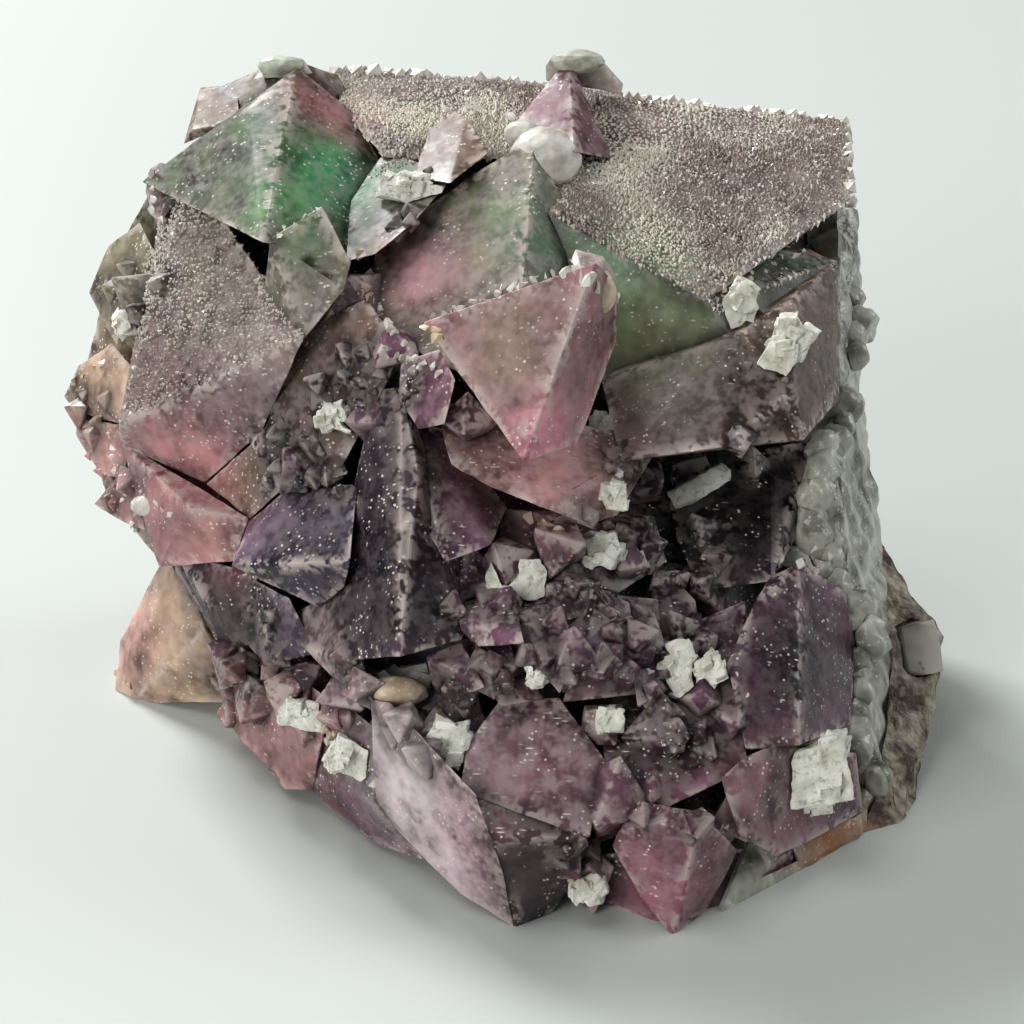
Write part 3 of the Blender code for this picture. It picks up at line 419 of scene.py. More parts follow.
# Crowds of small crystals: place and reach in the front view, how many, smallest and largest edge, kind
CROWDS = (
    (560, 620, 60, 12, 3.0, 6.0, "purple"), (610, 560, 50, 10, 2.4, 5.0, "purple"),
    (650, 660, 50, 10, 2.4, 5.0, "purple"), (500, 640, 40, 6, 2.4, 5.0, "grey"),
    (430, 730, 45, 10, 2.4, 5.0, "dark"), (330, 700, 50, 9, 2.0, 4.6, "pink"),
    (700, 600, 50, 8, 2.4, 5.0, "purple"), (700, 740, 40, 6, 2.4, 4.6, "dark"),
    (470, 580, 40, 6, 2.0, 4.4, "purple"), (290, 460, 34, 7, 2.0, 4.4, "dark"),
    (345, 385, 36, 7, 2.0, 4.0, "dark"), (400, 390, 26, 10, 1.0, 2.4, "grey"),
    (250, 640, 40, 7, 2.2, 4.6, "dark"), (600, 870, 40, 5, 2.0, 4.0, "purple"),
    (680, 810, 40, 5, 2.0, 4.2, "purple"), (740, 500, 60, 4, 2.4, 5.0, "dark"),
    (400, 190, 40, 5, 1.4, 3.0, "green"), (130, 300, 40, 6, 1.8, 4.0, "olive"),
    (95, 410, 30, 10, 1.8, 4.0, "cream"), (115, 500, 30, 8, 1.8, 4.0, "pink"),
    (640, 480, 40, 6, 1.6, 3.4, "brown"), (240, 700, 40, 10, 2.0, 4.6, "pink"),
    (330, 470, 30, 6, 2.0, 4.0, "olive"), (760, 350, 40, 8, 0.9, 2.0, "frost"),
)

# The pale layer's edge against the crystals, from the top down
RIM = ((848, 300, -15), (850, 345, -13), (836, 420, -5), (822, 460, -3), (804, 490, -2), (812, 512, -2), (804, 535, -1),
       (834, 575, 0), (846, 600, 0), (853, 640, 0), (850, 720, 1), (868, 790, 1))
STAIN = seen(828, 842, 4)


class Solid:
    """A convex crystal: its corners, kind and, once meshed, its planes and how frosted each is."""

    def __init__(self, name, corners, kind="dark"):
        self.name = name
        self.corners = corners
        self.kind = kind
        self.normals = None
        self.offsets = None
        self.frost = None


def hull_mesh(solid, edge_break):
    """The solid's mesh with its edges broken, keeping the planes of its faces."""
    shape = bmesh.new()
    for corner in solid.corners:
        shape.verts.new(corner)
    bmesh.ops.remove_doubles(shape, verts=shape.verts, dist=TOUCH)
    made = bmesh.ops.convex_hull(shape, input=shape.verts)
    spare = {item for key in ("geom_interior", "geom_unused") for item in made[key]}
    bmesh.ops.delete(shape, geom=[v for v in spare if isinstance(v, bmesh.types.BMVert)], context="VERTS")
    bmesh.ops.dissolve_limit(shape, angle_limit=math.radians(0.5), verts=shape.verts, edges=shape.edges)
    bmesh.ops.recalc_face_normals(shape, faces=shape.faces)
    shape.normal_update()
    solid.normals = np.array([tuple(face.normal) for face in shape.faces])
    solid.offsets = np.array([face.normal.dot(face.verts[0].co) for face in shape.faces])
    draw = random.Random(solid.name)
    usual = FROST.get(solid.name)
    solid.frost = np.array([usual + draw.uniform(-0.1, 0.1) if usual is not None else draw.uniform(0.05, 0.5)
                            for _ in shape.faces])
    if edge_break:
        sharp = [edge for edge in shape.edges if edge.calc_face_angle() > math.radians(18)]
        bmesh.ops.bevel(shape, geom=sharp, offset=edge_break, offset_type="OFFSET", segments=1,
                        affect="EDGES", clamp_overlap=True)
    mesh = bpy.data.meshes.new(solid.name)
    shape.to_mesh(mesh)
    shape.free()
    return mesh


def place(name, mesh):
    thing = bpy.data.objects.new(name, mesh)
    bpy.context.scene.collection.objects.link(thing)
    return thing


def united(name, meshes, floor=False):
    """One object from overlapping closed meshes, cut flat at the floor where asked."""
    things = [place(mesh.name, mesh) for mesh in meshes]
    target = things[0]
    group = bpy.data.collections.new("others")
    bpy.context.scene.collection.children.link(group)
    for thing in things[1:]:
        group.objects.link(thing)
    if things[1:]:
        joined = target.modifiers.new("union", "BOOLEAN")
        joined.operation = "UNION"
        joined.operand_type = "COLLECTION"
        joined.collection = group
        joined.solver = "MANIFOLD"
    if floor:
        corners = [Vector((x, y, z)) for x in (-0.09, 0.09) for y in (-0.09, 0.09) for z in (-0.05, 0.0)]
        things.append(place("floor_cutter", hull_mesh(Solid("floor_cutter", corners), 0)))
        cut = target.modifiers.new("floor", "BOOLEAN")
        cut.operation = "DIFFERENCE"
        cut.object = things[-1]
        cut.solver = "MANIFOLD"
    graph = bpy.context.evaluated_depsgraph_get()
    mesh = bpy.data.meshes.new_from_object(target.evaluated_get(graph))
    mesh.name = name
    for thing in things:
        bpy.data.objects.remove(thing)
    bpy.data.collections.remove(group)
    return place(name, mesh)


def outer_shell(shape):
    """Keeps the largest shell, which leaves out loose chips and sealed hollows."""
    waiting = set(shape.faces)
    shells = []
    while waiting:
        front = [waiting.pop()]
        shell = set(front)
        while front:
            for edge in front.pop().edges:
                for face in edge.link_faces:
                    if face in waiting:
                        waiting.discard(face)
                        shell.add(face)
                        front.append(face)
        shells.append(shell)
    kept = max(shells, key=lambda shell: sum(face.calc_area() for face in shell))
    bmesh.ops.delete(shape, geom=[face for face in shape.faces if face not in kept], context="FACES")


def owners_of_faces(shape, solids):
    """For each face, the number of the solid that it belongs to and of the plane of that solid."""
    centres = np.array([tuple(face.calc_center_median()) for face in shape.faces])
    best = np.full(len(centres), np.inf)
    owner = np.zeros(len(centres), int)
    plane = np.zeros(len(centres), int)
    for number, solid in enumerate(solids):
        heights = centres @ solid.normals.T - solid.offsets
        distance = np.abs(heights.max(axis=1))
        nearer = distance < best
        best[nearer] = distance[nearer]
        owner[nearer] = number
        plane[nearer] = heights.argmax(axis=1)[nearer]
    return owner, plane


def refine(shape, longest):
    """Splits edges until no triangle side is longer than that."""
    bmesh.ops.triangulate(shape, faces=shape.faces)
    for _ in range(6):
        long_edges = [edge for edge in shape.edges if edge.calc_length() > longest]
        if not long_edges:
            break
        bmesh.ops.subdivide_edges(shape, edges=long_edges, cuts=1)
        bmesh.ops.triangulate(shape, faces=[face for face in shape.faces if len(face.verts) > 3])


def points_along_edges(shape):
    """Points along the sharp edges that stand out, and along those that lie in."""
    convex, concave = [], []
    for edge in shape.edges:
        if len(edge.link_faces) == 2 and edge.calc_face_angle() > SHARP:
            points = convex if edge.is_convex else concave
            steps = max(1, int(edge.calc_length() / 0.0004))
            a, b = edge.verts[0].co, edge.verts[1].co
            points.extend(a.lerp(b, (step + 0.5) / steps) for step in range(steps))
    return convex, concave


def nearest_distances(points, targets):
    tree = KDTree(len(targets))
    for number, target in enumerate(targets):
        tree.insert(target, number)
    tree.balance()
    return np.array([tree.find(point)[2] for point in points])


def tree_of(thing):
    return BVHTree.FromPolygons([v.co.copy() for v in thing.data.vertices],
                                [list(polygon.vertices) for polygon in thing.data.polygons])


def set_colours(mesh, name, values):
    """A colour for each corner of each face."""
    layer = mesh.attributes.new(name, "FLOAT_COLOR", "CORNER")
    rgba = np.ones((len(mesh.loops), 4), np.float32)
    rgba[:, :3] = values
    layer.data.foreach_set("color", rgba.ravel())


def set_values(mesh, name, values, domain="POINT"):
    """One number for each vertex or each face corner."""
    layer = mesh.attributes.new(name, "FLOAT", domain)
    layer.data.foreach_set("value", np.asarray(values, np.float32))


def smooth_by_angle(mesh, degrees):
    """Smooth shading with the edges above that angle kept sharp."""
    shape = bmesh.new()
    shape.from_mesh(mesh)
    for face in shape.faces:
        face.smooth = True
    for edge in shape.edges:
        if len(edge.link_faces) == 2:
            edge.smooth = edge.calc_face_angle() < math.radians(degrees)
    shape.to_mesh(mesh)
    shape.free()


def crowd_crystals(tree):
    """Small parallel octahedra sunk into the surface within each crowd's circle."""
    draw = random.Random(21)
    found = []
    for across, down, reach, count, smallest, largest, kind in CROWDS:
        usual = [draw.uniform(0, 90) for _ in range(3)]
        for _ in range(count):
            angle = draw.uniform(0, math.tau)
            away = reach * math.sqrt(draw.random())
            edge = smallest + (largest - smallest) * draw.random() ** 1.6
            turn = [value + draw.gauss(0, 14) for value in usual]
            aim = seen(across + away * math.cos(angle), down + away * math.sin(angle), 0)
            hit, normal = tree.ray_cast(EYE, (aim - EYE).normalized())[:2]
            if hit is not None:
                centre = hit - normal * edge * MM * draw.uniform(0.1, 0.3)
                found.append(Solid(f"small_{len(found)}", octahedron(centre, edge, turn), kind))
    return found


def chips(tree):
    """Small pale broken bits along the worn edges of the crystals."""
    draw = random.Random(8)
    found = []
    for first, last, count, smallest, largest, kind in CHIP_LINES:
        for number in range(count):
            along = (number + draw.uniform(0.1, 0.9)) / count
            across, down = (a + (b - a) * along for a, b in zip(first[:2], last[:2]))
            aim = seen(across + draw.gauss(0, 2), down + draw.gauss(0, 2), 0)
            hit, normal = tree.ray_cast(EYE, (aim - EYE).normalized())[:2]
            if hit is None:
                continue
            size = draw.uniform(smallest, largest) * MM * 0.5
            corners = []
            for _ in range(9):
                way = Vector([draw.gauss(0, 1) for _ in range(3)]).normalized()
                corners.append(hit - normal * size * 0.3 + way * size * draw.uniform(0.85, 1.1))
            found.append(Solid(f"chip_{len(found)}", corners, kind))
    return found


def lumps():
    """Rounded masses of cloudy crystal."""
    draw = random.Random(5)
    found = []
    for across, down, forward, wide, high, deep, kind in LUMPS:
        corners = []
        for _ in range(90):
            way = Vector([draw.gauss(0, 1) for _ in range(3)]).normalized()
            way = RIGHT * way.x * wide + UPWARD * way.y * high + NEARER * way.z * deep
            corners.append(seen(across, down, forward) + way * MM * draw.uniform(0.97, 1.0))
        found.append(Solid(f"lump_{len(found)}", corners, kind))
    return found


def skyline_tips():
    """Upright octahedra in rows, which give the dusted slopes their sawtooth skyline."""
    draw = random.Random(17)
    found = []
    for first, last, count, smallest, largest in TIP_ROWS:
        for number in range(count):
            along = (number + draw.uniform(0.2, 0.8)) / count
            across, down, forward = (a + (b - a) * along for a, b in zip(first, last))
            turn = (draw.gauss(27, 6), draw.gauss(0, 6), 45 + draw.gauss(0, 8))
            edge = draw.uniform(smallest, largest)
            centre = seen(across, down + 4 + draw.gauss(0, 1.5), forward + draw.gauss(0, 0.4))
            found.append(Solid(f"tip_{len(found)}", octahedron(centre, edge, turn), "frost"))
    return found


def fluorite_solids():
    """The cluster's crystals, its cloudy bits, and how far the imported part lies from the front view's frame."""
    named = {**core(), **top_left_crystals(), **top_crystals(), **centre_crystals(), **middle_crystals(),
             **low_crystals(), **hidden_crystals(), **crevice_crystals()}
    draft = united("draft", [hull_mesh(Solid(name, corners), 0) for name, corners in named.items()], True)
    tree = tree_of(draft)
    bpy.data.objects.remove(draft)
    named.update(side_crystals(tree))
    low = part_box("fluorite_cluster")[0]
    lowest = [min(corner[i] for corners in named.values() for corner in corners) for i in range(2)]
    shift = Vector((low.x - lowest[0], low.y - lowest[1], 0.0))
    solids = []
    for number, (name, corners) in enumerate(named.items()):
        kind = KIND_OF.get(name, "purple")
        if name.startswith(("left_side", "left_top", "back_top", "right_top", "side_")):
            kind = SIDE_KINDS[number % len(SIDE_KINDS)]
        solids.append(Solid(name, corners, kind))
    pale = chips(tree) + skyline_tips() + lumps()
    return solids + crowd_crystals(tree), pale, shift


def fluorite(solids):
    """The fused crystals, refined, with nibbled edges, and their colours worked out: a painted glow where they are thin
    or near edges, and painted shade in the creases.
    """
    thing = united("fluorite", [hull_mesh(solid, EDGE_BREAK) for solid in solids], True)
    shape = bmesh.new()
    shape.from_mesh(thing.data)
    bmesh.ops.remove_doubles(shape, verts=shape.verts, dist=TOUCH)
    bmesh.ops.dissolve_degenerate(shape, edges=shape.edges, dist=TOUCH)
    outer_shell(shape)
    bmesh.ops.triangulate(shape, faces=shape.faces)
    convex, concave = points_along_edges(shape)
    owner_layer = shape.faces.layers.int.new("owner")
    plane_layer = shape.faces.layers.int.new("plane")
    for face, owner, plane in zip(shape.faces, *owners_of_faces(shape, solids)):
        face[owner_layer] = int(owner)
        face[plane_layer] = int(plane)
    refine(shape, FINE)
    shape.normal_update()
    tree = BVHTree.FromBMesh(shape)

    points = [vert.co.copy() for vert in shape.verts]
    normals = [vert.normal.copy() for vert in shape.verts]
    thickness = []
    for point, normal in zip(points, normals):
        hit = tree.ray_cast(point - normal * 0.00005, -normal)
        thickness.append(hit[3] if hit[0] is not None else 0.05)
    thickness = np.array(thickness)
    from_edge = nearest_distances(points, convex)
    from_crease = nearest_distances(points, concave)
    for vert, point, normal, away in zip(shape.verts, points, normals, from_edge):
        near_edge = math.exp(-away / 0.0005)
        nibble = noise.noise(point * 900.0) * 0.00016 - 0.00006
        vert.co = point + normal * (noise.noise(point * 300.0) * 0.00003 + nibble * near_edge)
        vert.co.z = max(vert.co.z, 0.0)

    mesh = thing.data
    shape.to_mesh(mesh)
    shape.free()
    corner_vertex = np.zeros(len(mesh.loops), int)
    mesh.loops.foreach_get("vertex_index", corner_vertex)
    owners = np.zeros(len(mesh.polygons), int)
    planes = np.zeros(len(mesh.polygons), int)
    mesh.attributes["owner"].data.foreach_get("value", owners)
    mesh.attributes["plane"].data.foreach_get("value", planes)
    frost = np.array([solids[owner].frost[plane] for owner, plane in zip(owners, planes)])
    upright = np.array([solids[owner].normals[plane][2] for owner, plane in zip(owners, planes)])
    frost = np.repeat(np.clip(frost + 0.25 * np.clip(upright, 0, 1), 0, 1), 3)
    corner_owner = np.repeat(owners, 3)
    painted_glow_colour = np.array([KINDS[solid.kind][0] for solid in solids])[corner_owner]
    deep = np.array([KINDS[solid.kind][1] for solid in solids])[corner_owner]
    # painted glow: thin parts and edges get the lighter colour, standing in for light shining through the crystal
    painted_glow = np.exp(-thickness / 0.0060) * 0.7 + 0.4 * np.exp(-from_edge / 0.0016)
    # painted shade: the glow is halved next to the creases
    painted_glow = painted_glow * (1.0 - 0.5 * np.exp(-from_crease / 0.0014))
    # own deep colour, lightened towards the painted glow colour
    tint = deep + (painted_glow_colour - deep) * np.clip(painted_glow[corner_vertex][:, None], 0, 1)
    where = np.array([tuple(point) for point in points])
    for across, down, forward, reach, colour, strength in PATCHES:
        aim = seen(across, down, forward)
        hit = tree.ray_cast(EYE, (aim - EYE).normalized())[0]
        middle = np.array(tuple(hit if hit is not None else aim))
        near = np.exp(-(((where - middle) ** 2).sum(1)) / (reach * MM) ** 2)[corner_vertex][:, None] * strength
        tint = tint + (colour - tint) * near
    set_colours(mesh, "tint", tint)
    set_values(mesh, "wear", np.exp(-from_edge / 0.00032))
    # painted shade in the creases, strongest right at the crease
    set_values(mesh, "crease", np.exp(-from_crease / 0.0008))
    set_values(mesh, "frost", frost, "CORNER")
    for name in ("owner", "plane"):
        mesh.attributes.remove(mesh.attributes[name])
    smooth_by_angle(mesh, 24)
    return thing, tree


def cloudy(solids):
    """The pale chips, lumps and tips, nibbled all over."""
    thing = united("cloudy_bits", [hull_mesh(solid, 0) for solid in solids], True)
    shape = bmesh.new()
    shape.from_mesh(thing.data)
    bmesh.ops.remove_doubles(shape, verts=shape.verts, dist=TOUCH)
    bmesh.ops.triangulate(shape, faces=shape.faces)
    owners = owners_of_faces(shape, solids)[0]
    owner_layer = shape.faces.layers.int.new("owner")
    for face, owner in zip(shape.faces, owners):
        face[owner_layer] = int(owner)
    refine(shape, 0.0007)
    shape.normal_update()
    for vert in shape.verts:
        vert.co = vert.co + vert.normal * noise.noise(vert.co * 900.0) * 0.00009
        vert.co.z = max(vert.co.z, 0.0)
    mesh = thing.data
    shape.to_mesh(mesh)
    shape.free()
    owners = np.zeros(len(mesh.polygons), int)
    mesh.attributes["owner"].data.foreach_get("value", owners)
    mesh.attributes.remove(mesh.attributes["owner"])
    colours = np.array([KINDS[solid.kind][0] for solid in solids])
    set_colours(mesh, "tint", colours[np.repeat(owners, 3)])
    smooth_by_angle(mesh, 30)
    return thing


def druse(tree, solids, names, spacing, smallest, largest, seed):
    """Tiny three-sided pyramids standing close together on the named crystals' upper faces."""
    draw = random.Random(seed)
    shape = bmesh.new()
    for solid in solids:
        if solid.name not in names:
            continue
        for normal, offset in zip(solid.normals, solid.offsets):
            face_normal = Vector(normal)
            if face_normal.z < names[solid.name]:
                continue
            corners = [corner for corner in solid.corners if abs(corner.dot(face_normal) - offset) < TOUCH]
            if len(corners) < 3:
                continue
            middle = sum(corners, Vector()) / len(corners)
            first = (RIGHT - face_normal * RIGHT.dot(face_normal)).normalized()
            second = face_normal.cross(first)
            reach = max((corner - middle).length for corner in corners)
            steps = int(reach / spacing) + 1
            for row in range(-steps, steps + 1):
                for column in range(-steps, steps + 1):
                    along = (column + 0.5 * (row % 2) + draw.uniform(-0.35, 0.35)) * spacing
                    over = (row * 0.866 + draw.uniform(-0.35, 0.35)) * spacing
                    foot = middle + first * along + second * over
                    coarse = max(0.0, noise.noise(foot * 160.0) * 1.6 + 0.35)
                    size = smallest + (largest - smallest) * min(1.0, draw.random() ** 2 + coarse * 0.5)
                    lean = Vector((draw.gauss(0, 0.13), draw.gauss(0, 0.13), draw.gauss(0, 0.13)))
                    spin = draw.gauss(0.4, 0.2)
                    near, near_normal, _, distance = tree.find_nearest(foot)
                    if near is None or distance > 0.0002 or near_normal.dot(face_normal) < 0.97:
                        continue
                    add_pyramid(shape, near, (face_normal + lean).normalized(), first, spin, size)
    mesh = bpy.data.meshes.new("druse")
    shape.to_mesh(mesh)
    shape.free()
    return place("druse", mesh)


def add_pyramid(shape, foot, upward, along, spin, size):
    """A closed pyramid with three steep sides, sunk a little into what carries it."""
    side = upward.cross(along).normalized()
    along = side.cross(upward)
    corners = []
    for step in range(3):
        angle = spin + step * math.tau / 3
        corners.append(shape.verts.new(foot - upward * size * 0.3
                                       + (along * math.cos(angle) + side * math.sin(angle)) * size * 0.72))
    tip = shape.verts.new(foot + upward * size * 0.36)
    for a, b in ((0, 1), (1, 2), (2, 0)):
        shape.faces.new((corners[a], corners[b], tip))
    shape.faces.new((corners[2], corners[1], corners[0]))


def node_mesh(name, shift):
    """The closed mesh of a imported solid, in the front view's frame."""
    shape = bmesh.new()
    shape.from_mesh(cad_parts[name].data)
    bmesh.ops.remove_doubles(shape, verts=shape.verts, dist=0.000005)
    bmesh.ops.translate(shape, verts=shape.verts, vec=-shift)
    mesh = bpy.data.meshes.new(name)
    shape.to_mesh(mesh)
    shape.free()
    return mesh


def rim_lobes():
    """Rounded lobes of the pale layer along its edge against the crystals."""
    draw = random.Random(31)
    meshes = []
    for first, last in zip(RIM, RIM[1:]):
        for step in range(3):
            across, down, forward = (a + (b - a) * (step + draw.random()) / 3 for a, b in zip(first, last))
            middle = seen(across + draw.gauss(6, 5), down + draw.gauss(0, 3), forward)
            size = draw.uniform(0.0013, 0.0024)
            corners = []
            for _ in range(40):
                way = Vector([draw.gauss(0, 1) for _ in range(3)]).normalized()
                corners.append(middle + Vector((way.x, way.y * 0.9, way.z * 1.25)) * size)
            meshes.append(hull_mesh(Solid(f"lobe_{len(meshes)}", corners), 0))
    return meshes


def weathered(name, meshes, longest, waves, clear_of, reach, lobes=None):
    """Surfaces fused, refined and pushed about by several sizes of noise, calm beside the crystals."""
    thing = united(name, meshes)
    shape = bmesh.new()
    shape.from_mesh(thing.data)
    bmesh.ops.remove_doubles(shape, verts=shape.verts, dist=0.000005)
    refine(shape, longest)
    shape.normal_update()
    moved = []
    for vert in shape.verts:
        push = 0.0
        for size, height, ridged in waves:
            value = noise.noise(vert.co / size)
            push += height * (0.35 - abs(value) * 2.2 if ridged else value)
        if lobes:
            first = noise.voronoi(vert.co / lobes[0])[0][0]
            push += lobes[1] * (0.55 - min(first, 1.0) ** 2 * 1.6)
        distance = clear_of.find_nearest(vert.co)[3]
        push *= min(1.0, max(0.0, distance - 0.0003) / reach)
        moved.append(vert.co + vert.normal * push)
    for vert, co in zip(shape.verts, moved):
        if vert.co.z > 0.00005:
            vert.co = co
        vert.co.z = max(vert.co.z, 0.0)
    shape.to_mesh(thing.data)
    shape.free()
    stain = []
    for vert in thing.data.vertices:
        away = (vert.co - STAIN).length / 0.0075
        stain.append(min(1.0, max(0.0, 1.4 * math.exp(-away * away) + noise.noise(vert.co * 500.0) * 0.5 - 0.3)))
    set_values(thing.data, "stain", stain)
    return thing


def grain(name, shift, tree, count, seed):
    """A white grain: its solid with small blocks grown over its outer side."""
    draw = random.Random(seed)
    body = node_mesh(name, shift)
    low = Vector([min(v.co[i] for v in body.vertices) for i in range(3)])
    high = Vector([max(v.co[i] for v in body.vertices) for i in range(3)])
    middle = (low + high) / 2
    size = sorted(high - low)[1]
    own = BVHTree.FromPolygons([v.co.copy() for v in body.vertices], [list(p.vertices) for p in body.polygons])
    meshes = [body]
    usual = [draw.uniform(-0.6, 0.6), draw.uniform(-0.5, 0.5)]
    for number in range(count):
        lean = (Matrix.Rotation(usual[0] + draw.gauss(0, 0.35), 3, NEARER)
                @ Matrix.Rotation(usual[1] + draw.gauss(0, 0.35), 3, "X"))
        way = Vector([draw.gauss(0, 1) for _ in range(3)]).normalized()
        hit = own.ray_cast(middle, way)[0]
        edge = size * draw.uniform(0.12, 0.24)
        if hit is None or tree.find_nearest(hit)[3] < edge * 0.35:
            continue
        centre = middle.lerp(hit, 0.86)
        corners = []
        for x in (-1, 1):
            for y in (-1, 1):
                for z in (-1, 1):
                    corners.append(centre + lean @ Vector((x + 0.22 * y, y, z + 0.15 * x)) * edge * 0.8)
        meshes.append(hull_mesh(Solid(f"{name}_{number}", corners), 0.00006))
    thing = united(f"{name}_look", meshes)
    shape = bmesh.new()
    shape.from_mesh(thing.data)
    bmesh.ops.remove_doubles(shape, verts=shape.verts, dist=0.000005)
    refine(shape, 0.00042)
    shape.normal_update()
    for vert in shape.verts:
        rough = (noise.noise(vert.co * 600.0) * 0.00028 + noise.noise(vert.co * 1500.0) * 0.00014
                 + noise.noise(vert.co * 3500.0) * 0.00006)
        vert.co = vert.co + vert.normal * rough
        vert.co.z = max(vert.co.z, 0.0)
    shape.to_mesh(thing.data)
    shape.free()
    smooth_by_angle(thing.data, 30)
    return thing


class Nodes:
    """A node tree under construction."""

    def __init__(self, tree):
        self.tree = tree

    def node(self, kind, **settings):
        made = self.tree.nodes.new(kind)
        for key, value in settings.items():
            setattr(made, key, value)
        return made

    def link(self, output, target):
        self.tree.links.new(output, target)

    def attribute(self, name, output="Fac"):
        return self.node("ShaderNodeAttribute", attribute_name=name).outputs[output]

    def position(self, stretch=None):
        place = self.node("ShaderNodeTexCoord").outputs["Object"]
        if stretch is None:
            return place
        made = self.node("ShaderNodeMapping")
        made.inputs["Scale"].default_value = stretch
        self.link(place, made.inputs["Vector"])
        return made.outputs["Vector"]

    def noise(self, scale, detail=3.0, rough=0.55, stretch=None):
        made = self.node("ShaderNodeTexNoise")
        made.inputs["Scale"].default_value = scale
        made.inputs["Detail"].default_value = detail
        made.inputs["Roughness"].default_value = rough
        self.link(self.position(stretch), made.inputs["Vector"])
        return made.outputs["Fac"]

    def cells(self, scale, feature="F1", output="Distance", stretch=None):
        made = self.node("ShaderNodeTexVoronoi", feature=feature)
        made.inputs["Scale"].default_value = scale
        self.link(self.position(stretch), made.inputs["Vector"])
        return made.outputs[output]

    def span(self, value, low, high, to_low=0.0, to_high=1.0):
        made = self.node("ShaderNodeMapRange")
        for key, number in (("From Min", low), ("From Max", high), ("To Min", to_low), ("To Max", to_high)):
            made.inputs[key].default_value = number
        self.link(value, made.inputs["Value"])
        return made.outputs["Result"]

    def maths(self, operation, a, b):
        made = self.node("ShaderNodeMath", operation=operation)
        for socket, value in zip(made.inputs, (a, b)):
            if isinstance(value, (int, float)):
                socket.default_value = value
            else:
                self.link(value, socket)
        return made.outputs[0]

    def times(self, a, b):
        return self.maths("MULTIPLY", a, b)

    def blend(self, fac, a, b, mode="MIX"):
        made = self.node("ShaderNodeMix", data_type="RGBA", blend_type=mode)
        for name, value in ((0, fac), (6, a), (7, b)):
            if isinstance(value, (int, float)):
                made.inputs[name].default_value = value
            elif isinstance(value, bpy.types.NodeSocket):
                self.link(value, made.inputs[name])
            else:
                made.inputs[name].default_value = (*value, 1.0)
        return made.outputs[2]

    def bump(self, height, strength, distance, below=None):
        made = self.node("ShaderNodeBump")
        made.inputs["Strength"].default_value = strength
        made.inputs["Distance"].default_value = distance
        self.link(height, made.inputs["Height"])
        if below:
            self.link(below, made.inputs["Normal"])
        return made.outputs["Normal"]


class Shader(Nodes):
    """A material under construction, with its Principled BSDF."""

    def __init__(self, name):
        self.material = bpy.data.materials.new(name)
        self.material.use_nodes = True
        super().__init__(self.material.node_tree)
        self.surface = self.tree.nodes["Principled BSDF"]

    def into(self, output, socket):
        self.link(output, self.surface.inputs[socket])

    def dust(self, group, coverage, strength):
        made = self.node("ShaderNodeGroup")
        made.node_tree = group
        made.inputs["Coverage"].default_value = coverage
        made.inputs["Strength"].default_value = strength
        return made.outputs["Mask"]


def dust_group():
    """Where pale specks and short fibres lie on a surface: more with coverage, plainer with strength."""
    tree = bpy.data.node_groups.new("dust", "ShaderNodeTree")
    for name in ("Coverage", "Strength"):
        tree.interface.new_socket(name, in_out="INPUT", socket_type="NodeSocketFloat")
    tree.interface.new_socket("Mask", in_out="OUTPUT", socket_type="NodeSocketFloat")
    s = Nodes(tree)
    given = s.node("NodeGroupInput").outputs

    place = s.span(s.maths("ADD", s.noise(190, 2, 0.8), given["Coverage"]), 0.48, 0.60)
    specks = s.span(s.cells(1300), 0.24, 0.13)
    fibres = s.span(s.cells(1.0, stretch=(300, 1700, 1200)), 0.17, 0.09)
    mask = s.times(s.maths("MAXIMUM", specks, fibres), place)
    s.link(s.times(mask, given["Strength"]), s.node("NodeGroupOutput").inputs["Mask"])
    return tree


def fluorite_material(dust):
    """Clear to cloudy crystal: tinted inside, frosted and dusted outside, pale where it is chipped, darkened by painted
    shade in its creases.
    """
    s = Shader("fluorite")
    tint = s.attribute("tint", "Color")
    frost = s.attribute("frost")
    broad = s.noise(130, 3, 0.75)
    fine = s.noise(480, 2, 0.85)
    dimmed = s.blend(1.0, tint, (0.20, 0.16, 0.18), "MULTIPLY")
    lifted = s.blend(1.0, tint, (1.22, 1.14, 1.16), "MULTIPLY")
    mottled = s.blend(s.span(broad, 0.34, 0.66), dimmed, lifted)
    film = s.times(s.span(fine, 0.40, 0.62), s.times(frost, 0.7))
    filmed = s.blend(film, mottled, s.blend(0.6, lifted, linear(196, 180, 180)))
    chipped = s.times(s.span(fine, 0.44, 0.54), s.attribute("wear"))
    worn = s.blend(s.times(chipped, 0.8), filmed, linear(222, 206, 198))
    # painted shade: creases darkened towards near black
    shadowed = s.blend(s.times(s.attribute("crease"), 0.75), worn, linear(20, 12, 14))
    dusty = s.dust(dust, 0.0, 0.9)
    s.into(s.blend(dusty, shadowed, linear(240, 234, 224)), "Base Color")
    frosted = s.maths("ADD", s.span(broad, 0.35, 0.65, 0.26, 0.5), s.times(frost, 0.22))
    s.into(frosted, "Roughness")
    s.into(s.bump(s.noise(520, 1, 0.9), 0.6, 0.00018), "Normal")
    s.surface.inputs["IOR"].default_value = 1.434
    s.surface.inputs["Transmission Weight"].default_value = 0.18
    return s.material


def cloudy_material(dust):
    """Pale cloudy crystal: chips, lumps and tips that let little light through."""
    s = Shader("cloudy")
    tint = s.attribute("tint", "Color")
    dull = s.blend(1.0, tint, (0.62, 0.58, 0.54), "MULTIPLY")
    mottled = s.blend(s.span(s.noise(520, 2, 0.6), 0.36, 0.62), dull, tint)
    s.into(s.blend(s.dust(dust, 0.06, 0.6), mottled, linear(244, 240, 232)), "Base Color")
    s.surface.inputs["Roughness"].default_value = 0.36
    s.into(s.bump(s.noise(1400, 1, 0.7), 0.5, 0.0001), "Normal")
    s.surface.inputs["IOR"].default_value = 1.434
    s.surface.inputs["Transmission Weight"].default_value = 0.15
    return s.material


